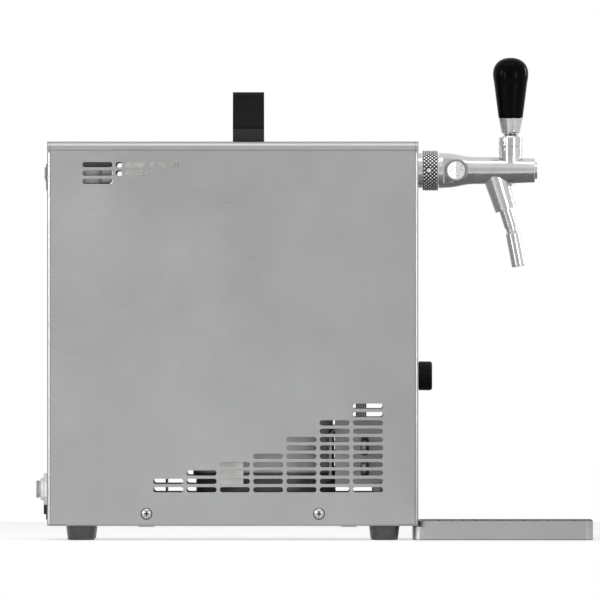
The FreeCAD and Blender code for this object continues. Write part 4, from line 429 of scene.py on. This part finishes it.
def knurled_collar():
    low, high = COLLAR[0].x, COLLAR[1].x
    length, outer, depth = high - low, 15.2, 0.8
    around, rows_along, count = 576, 72, 32
    hole_x, hole_r, seat_gap, painted_shade_share = FRONT + 8.2, 1.7, 0.45, 0.4
    rows = [(11.85, 0), (14.3, 0), (14.7, 0.12), (14.85, 0.4)]
    first = len(rows)
    rows += [(outer, 0.6 + (length - 1.2) * k / (rows_along - 1)) for k in range(rows_along)]
    rows += [(14.85, length - 0.4), (14.7, length - 0.12), (14.3, length), (10.85, length),
             (10.85, length - 1.7), (11.85, length - 1.7)]
    pitch = 2 * math.pi * outer / count

    def fold(height, angle):
        """0 in a groove of the crossed knurl, 1 on the top of its ridges."""
        turn = angle * count / (2 * math.pi)
        return min(abs((turn + way * height / pitch) % 1 - 0.5) * 2 for way in (1, -1))

    def in_seat(height, angle):
        return math.hypot(low + height - hole_x, outer * (angle - math.pi)) < hole_r + seat_gap

    def radius_at(k, radius, height, angle):
        if not first <= k < first + rows_along:
            return radius
        if in_seat(height, angle):
            return radius - depth
        return radius - depth * (1 - min(1.0, fold(height, angle) / 0.5))

    verts, faces = tube(rows, around, along_x(low, TAP_Z), radius_at)
    collar = mesh_piece("knurled_collar", verts, faces, "knurled", "cabinet",
                        "coupling_collar", 60)
    # second slot: the faces deep in the grooves and round the spanner seat get the near black finish as
    # painted shade
    collar.data.materials.append(MATS["groove"])
    for k in range(first, first + rows_along - 1):
        height = (rows[k][1] + rows[k + 1][1]) / 2
        for i in range(around):
            angle = 2 * math.pi * (i + 0.5) / around
            if in_seat(height, angle) or fold(height, angle) < painted_shade_share:
                collar.data.polygons[k * around + i].material_index = 1
    rows = [(hole_r, -14.2), (hole_r, -15.12), (hole_r - 0.2, -15.19), (0.2, -15.19)]
    verts, faces = lathe(rows, 40, lambda u, v, h: (hole_x + u, h, TAP_Z + v))
    mesh_piece("spanner_seat", verts, faces, "fitting_steel", "cabinet")


knurled_collar()


# Flow dial

def dial_facet():
    """The raised thumb face on one half of the flow dial: a half disc that falls from its ridge to the rim."""
    low, high = edges_of("compensator_knob")
    cx, cz = (low.x + high.x) / 2 - 0.15, (low.z + high.z) / 2
    radius, steps, ridge, fall, root = 6.6, 40, low.y - 1.0, 0.29, low.y + 1.2
    turns = [math.pi * k / steps for k in range(steps + 1)]
    outline = [(-radius * math.sin(turn), radius * math.cos(turn)) for turn in turns]
    front = [(cx + u, ridge - u * fall, cz + v) for u, v in outline]
    back = [(cx + u, root, cz + v) for u, v in outline]
    mesh_piece("dial_facet", front + back, slab_faces(len(outline)), "bright", "flow_dial")


def body_radius(x):
    """Radius of the tap body beside the flow dial."""
    rows = [(98.5, 13.4), (103, 13.02), (108, 12.27), (113, 11.25), (117, 10.72)]
    for (x0, r0), (x1, r1) in zip(rows, rows[1:]):
        if x <= x1:
            return r0 + (r1 - r0) * (x - x0) / (x1 - x0)
    return rows[-1][1]


def saddle(name, x0, x1):
    """Fills a lower corner of the flat under the flow dial, outside the dial's ring."""
    ring = edges_of("compensator_ring")
    cx, clear, flat, across, along = (ring[0].x + ring[1].x) / 2, 9.0, 9.25, 10, 14
    front = []
    for i in range(along + 1):
        x = x0 + (x1 - x0) * i / along
        radius = body_radius(x) - 0.02
        bottom = -math.sqrt(radius ** 2 - flat ** 2)
        inside = clear ** 2 - (x - cx) ** 2
        top = max(bottom + 0.02, -math.sqrt(inside) if inside > 0 else 0.0)
        for j in range(across + 1):
            z = bottom + (top - bottom) * j / across
            front.append((x, -math.sqrt(radius ** 2 - z ** 2), TAP_Z + z))
    back = [(x, -flat + 0.1, z) for x, y, z in front]
    row, total = across + 1, len(front)
    faces = []
    for i in range(along):
        for j in range(across):
            a = i * row + j
            faces += [(a, a + row, a + row + 1, a + 1),
                      (total + a, total + a + 1, total + a + row + 1, total + a + row)]
    rim = ([i * row for i in range(along)] + [along * row + j for j in range(across)]
           + [i * row + across for i in range(along, 0, -1)] + [j for j in range(across, 0, -1)])
    faces += [(a, b, total + b, total + a) for b, a in zip(rim, rim[1:] + rim[:1])]
    mesh_piece(name, front + back, faces, "polished", "cabinet")


dial_facet()
saddle("dial_saddle_rear", 98.8, 103.9)
saddle("dial_saddle_front", 114.3, 116.5)


# Side screws

def screw_dress(name, x, side):
    """A dark cross in the head and a dark ring round it, for one of the cabinet's side screws: painted shade
    for the cross recess and for the gap under the head.
    """
    z, face, wall, reach, half, deep = 19.95, 88.68, 86.55, 1.9, 0.42, 1.2
    verts, faces = [], []
    for half_u, half_v in ((reach, half), (half, reach)):
        bar = [(half_u, half_v), (-half_u, half_v), (-half_u, -half_v), (half_u, -half_v)]
        base = len(verts)
        verts += [(x + u, side * y, z + v) for y in (face - deep, face) for u, v in bar]
        faces += [tuple(base + i for i in f) for f in BAR_FACES]
    mesh_piece(name + "_recess", verts, faces, "recess", "cabinet")
    rows = [(3.75, 0), (4.45, 0), (4.45, 0.35), (4.25, 0.6), (3.75, 0.6)]
    verts, faces = tube(rows, 48, lambda u, v, h: (x + u, side * (wall + h), z + v))
    mesh_piece(name + "_shade_ring", verts, faces, "recess", "cabinet")


SCREW_REACH = 65.3
for label, side in (("near", -1), ("far", 1)):
    for place, end in (("rear", -1), ("front", 1)):
        screw_dress(f"side_screw_{label}_{place}", (FRONT + REAR) / 2 + end * SCREW_REACH, side)


# Lever knob

def lever_knob():
    base, top = KNOB[0].z, KNOB[1].z
    rows = [(3.1, 0.0), (8.9, 0.0), (9.2, 0.12), (9.32, 0.4)]
    rows += [(9.3 + 3.45 * (k / 10), 0.4 + 26.8 * (k / 10)) for k in range(1, 10)]
    waist, belt, dome, power = (12.75, 27.2), (13.5, 33.2), top - base - 33.2, 2.2
    for k in range(9):
        t = k / 8
        swell = math.sin(t * math.pi / 2)
        rows.append((waist[0] + (belt[0] - waist[0]) * swell, waist[1] + (belt[1] - waist[1]) * t))
    for k in range(1, 24):
        rise = math.sin(k / 24 * math.pi / 2)
        rows.append((belt[0] * (1 - rise ** power) ** (1 / power), belt[1] + dome * rise))
    rows.append((0.4, top - base))
    verts, faces = lathe(rows, 96, lambda u, v, h: (LEVER_X + u, v, base + h))
    mesh_piece("pear_knob", verts, faces, "phenolic", "tap_lever", "lever_knob", 50)


lever_knob()


# Thermostat knob

def thermostat_knob():
    length, outer, flutes, depth = DIAL[1].x - FRONT, 11.0, 30, 0.35
    rows = [(3.0, -9.0), (3.0, 0.4), (10.4, 0.4), (outer, 0.9)]
    first = len(rows)
    rows += [(outer, 0.9 + (length - 2.3) * k / 8) for k in range(9)]
    last = len(rows)
    rows += [(10.7, length - 1.0), (10.2, length - 0.25), (9.7, length), (8.6, length),
             (8.0, length - 0.35), (7.6, length - 1.3), (1.0, length - 1.45)]

    def radius_at(k, radius, height, angle):
        if k < first - 1 or k > last:
            return radius
        wave = (0.5 + 0.5 * math.cos(angle * flutes)) ** 3
        return radius - depth * wave * (1.0 if first <= k < last else 0.6)

    verts, faces = lathe(rows, 320, along_x(FRONT, DIAL_Z), radius_at)
    mesh_piece("fluted_dial", verts, faces, "dial_plastic", "thermostat_dial",
               "thermostat_knob", 40)
    root, half, inner, tip = FRONT + length - 1.5, 0.45, 1.6, 7.4
    bar = [(-half, inner), (half, inner), (half, tip), (-half, tip)]
    verts = [(root + lift, y * taper, DIAL_Z + z) for lift, taper in ((0, 1), (0.5, 0.8)) for y, z in bar]
    mesh_piece("dial_pointer", verts, BAR_FACES, "mark", "thermostat_dial")


def panel_scale():
    """Etched tick marks on the front panel, round three quarters of the thermostat knob."""
    ticks, start, step = 11, 225, 27
    inner, short, long, half = 13.2, 15.6, 16.8, 0.22
    verts, faces = [], []
    for k in range(ticks):
        angle = math.radians(start - step * k)
        along = Vector((math.cos(angle), math.sin(angle)))
        across = Vector((-along.y, along.x))
        outer = short if k % 5 else long
        base = len(verts)
        for x in (FRONT - 0.3, FRONT + 0.04):
            for r, w in ((inner, -half), (outer, -half), (outer, half), (inner, half)):
                spot = along * r + across * w
                verts.append((x, spot.x, DIAL_Z + spot.y))
        faces += [tuple(base + i for i in f) for f in
                  ((3, 2, 1, 0), (4, 5, 6, 7), (0, 1, 5, 4), (1, 2, 6, 5), (2, 3, 7, 6), (3, 0, 4, 7))]
    mesh_piece("thermostat_scale", verts, faces, "recess", "cabinet")


thermostat_knob()
panel_scale()


# Rocker switches

def rocker_marks(node, body):
    """The on bar and off ring moulded into a rocker's two halves, laid on its face."""
    low, high = edges_of(node)
    cy, cz, half = (low.y + high.y) / 2, (low.z + high.z) / 2, (high.z - low.z) / 2
    points = [v.co / MM for v in frame["nodes"][node].data.vertices]

    def face_x(z):
        """The rocker's outermost X at a height, on the line between its nearest corners above and below."""
        up = min((p for p in points if p.z >= z), key=lambda p: (round(p.z - z, 2), p.x))
        down = min((p for p in points if p.z <= z), key=lambda p: (round(z - p.z, 2), p.x))
        if abs(up.z - down.z) < 1e-6:
            return min(up.x, down.x)
        return down.x + (up.x - down.x) * (z - down.z) / (up.z - down.z)

    def laid(centre, outline):
        """The outline laid on the face at a height, and again a little inside the rocker."""
        return [(face_x(centre + w) + lift, cy + u, centre + w) for lift in (-0.05, 0.25) for u, w in outline]

    bar_u, bar_w = 0.25, 1.5
    bar = [(-bar_u, -bar_w), (bar_u, -bar_w), (bar_u, bar_w), (-bar_u, bar_w)]
    faces = [(0, 1, 2, 3), (7, 6, 5, 4)] + [(i, (i + 1) % 4, 4 + (i + 1) % 4, 4 + i) for i in range(4)]
    mesh_piece(f"{node}_on_mark", laid(cz + half * 0.5, bar), faces, "recess", body)

    around, inner, outer = 24, 1.0, 1.45
    turns = [2 * math.pi * i / around for i in range(around)]
    ring = [(r * math.cos(turn), r * math.sin(turn)) for turn in turns for r in (inner, outer)]
    count = len(ring)
    pairs = [(2 * i, 2 * ((i + 1) % around)) for i in range(around)]
    faces = [(a, a + 1, b + 1, b) for a, b in pairs]
    faces += [tuple(count + i for i in reversed(face)) for face in faces]
    faces += [(a + rim, b + rim, count + b + rim, count + a + rim) for a, b in pairs for rim in (0, 1)]
    mesh_piece(f"{node}_off_mark", laid(cz - half * 0.5, ring), faces, "recess", body)


rocker_marks("cooling_rocker", "cooling_switch")
rocker_marks("pump_rocker", "pump_switch")


# Carry handle

def strap_socket(side):
    """The moulded socket that each end of the strap stands in, with a bevelled upper rim."""
    x0, x1, z0, z1 = HANDLE[0].x, HANDLE[1].x, HANDLE[0].z, HANDLE[0].z + 9.5
    end = HANDLE[0].y if side < 0 else HANDLE[1].y
    inner, outer = end - 0.05 * side, end + 0.9 * side
    profile = [(inner, z0), (outer, z0), (outer, z1 - 1.0), (outer - 0.12 * side, z1 - 0.55),
               (outer - 0.4 * side, z1 - 0.15), (inner, z1)]
    inset = [0.0, 0.0, 0.0, 0.05, 0.2, 0.3]
    verts = [(x0 + d, y, z) for (y, z), d in zip(profile, inset)]
    verts += [(x1 - d, y, z) for (y, z), d in zip(profile, inset)]
    name = "strap_socket_" + ("near" if side < 0 else "far")
    mesh_piece(name, verts, slab_faces(len(profile)), "socket", "cabinet")


for side in (-1, 1):
    strap_socket(side)


# Camera, light and floor

def camera():
    data = bpy.data.cameras.new("camera")
    data.lens, data.sensor_width, data.clip_end = 1600, 36, 200
    cam = bpy.data.objects.new("camera", data)
    frame_width, aim = 0.456, Vector((-11.0 * MM, 0, 181.8 * MM))
    distance = frame_width * data.lens / data.sensor_width
    cam.location = aim + Vector((0, -distance, 0))
    cam.rotation_euler = (math.radians(90), 0, 0)
    SCENE.collection.objects.link(cam)
    SCENE.camera = cam


def softbox(name, spot, aim, size, watts, glossy, diffuse):
    data = bpy.data.lights.new(name, "AREA")
    data.shape, data.size, data.size_y, data.energy = "RECTANGLE", size[0], size[1], watts
    light = bpy.data.objects.new(name, data)
    light.location = spot
    light.rotation_euler = (Vector(aim) - Vector(spot)).to_track_quat("-Z", "Y").to_euler()
    light.visible_glossy, light.visible_diffuse = glossy, diffuse
    SCENE.collection.objects.link(light)


def seen_directly(tree):
    """1 for camera, glossy and transmission rays, else 0."""
    path = tree.nodes.new("ShaderNodeLightPath")
    either = path.outputs["Is Camera Ray"]
    for name in ("Is Glossy Ray", "Is Transmission Ray"):
        node = tree.nodes.new("ShaderNodeMath")
        node.operation = "MAXIMUM"
        tree.links.new(either, node.inputs[0])
        tree.links.new(path.outputs[name], node.inputs[1])
        either = node.outputs[0]
    return either


def world():
    made = bpy.data.worlds.new("studio")
    made.use_nodes = True
    SCENE.world = made
    tree = made.node_tree
    background = tree.nodes["Background"]
    level = tree.nodes.new("ShaderNodeMapRange")
    tree.links.new(seen_directly(tree), level.inputs[0])
    level.inputs["To Min"].default_value = 0.36
    level.inputs["To Max"].default_value = 1.0
    tree.links.new(level.outputs[0], background.inputs["Strength"])
    background.inputs["Color"].default_value = (1, 1, 1, 1)


def reflector(name, corners, level):
    """A grey card that only reflections see."""
    mesh = bpy.data.meshes.new(name)
    mesh.from_pydata(corners, [], [(0, 1, 2, 3)])
    card = bpy.data.objects.new(name, mesh)
    SCENE.collection.objects.link(card)
    mat = bpy.data.materials.new(name)
    mat.use_nodes = True
    bsdf = mat.node_tree.nodes["Principled BSDF"]
    bsdf.inputs["Base Color"].default_value = (0, 0, 0, 1)
    bsdf.inputs["Specular IOR Level"].default_value = 0
    bsdf.inputs["Emission Color"].default_value = (1, 1, 1, 1)
    bsdf.inputs["Emission Strength"].default_value = level
    mesh.materials.append(mat)
    card.visible_camera = card.visible_diffuse = card.visible_shadow = card.visible_transmission = False


def floor():
    half = 1.6
    mesh = bpy.data.meshes.new("floor")
    mesh.from_pydata([(-half, -half, -0.0002), (half, -half, -0.0002),
                      (half, half, -0.0002), (-half, half, -0.0002)],
                     [], [(0, 1, 2, 3)])
    plane = bpy.data.objects.new("floor", mesh)
    SCENE.collection.objects.link(plane)
    mat = bpy.data.materials.new("floor_paper")
    mat.use_nodes = True
    tree = mat.node_tree
    bsdf = tree.nodes["Principled BSDF"]
    bsdf.inputs["Base Color"].default_value = (0.86, 0.86, 0.86, 1)
    bsdf.inputs["Roughness"].default_value = 0.9
    bsdf.inputs["Emission Color"].default_value = (1, 1, 1, 1)
    seen = seen_directly(tree)
    scale = tree.nodes.new("ShaderNodeMath")
    scale.operation = "MULTIPLY"
    tree.links.new(seen, scale.inputs[0])
    scale.inputs[1].default_value = 0.5
    tree.links.new(scale.outputs[0], bsdf.inputs["Emission Strength"])
    mesh.materials.append(mat)


camera()
world()
floor()
reflector("front_card", [(-2.2, -1.9, -0.1), (2.2, -1.9, -0.1), (2.2, -1.9, 1.15), (-2.2, -1.9, 1.15)], 0.72)
reflector("low_card", [(0.08, -0.62, 0.016), (0.5, -0.62, 0.016), (0.5, 0.5, 0.016), (0.08, 0.5, 0.016)], 0.22)

# Name, place, aim and size in metres, watts, and whether reflections and surfaces see it
LAMPS = [
    ("key_left", (-0.95, -1.3, 0.35), (0, 0, 0.18), (0.35, 0.7), 4.5, True, True),
    ("key_right", (1.0, -1.25, 0.35), (0, 0, 0.18), (0.35, 0.7), 4, True, True),
    ("strip_left", (-1.05, -0.6, 0.55), (0.1, 0, 0.3), (0.05, 0.5), 3.6, True, False),
    ("strip_right", (1.15, 0.55, 0.55), (0.1, 0, 0.3), (0.11, 0.5), 3.6, True, False),
    ("overhead", (0.0, -0.35, 1.6), (0, 0, 0.2), (1.4, 0.5), 3, True, True),
    ("fill", (0.0, -6.0, 0.11), (0, 0, 0.12), (0.3, 0.3), 100, False, True),
]
for lamp in LAMPS:
    softbox(*lamp)
SCENE.view_settings.view_transform = "Standard"
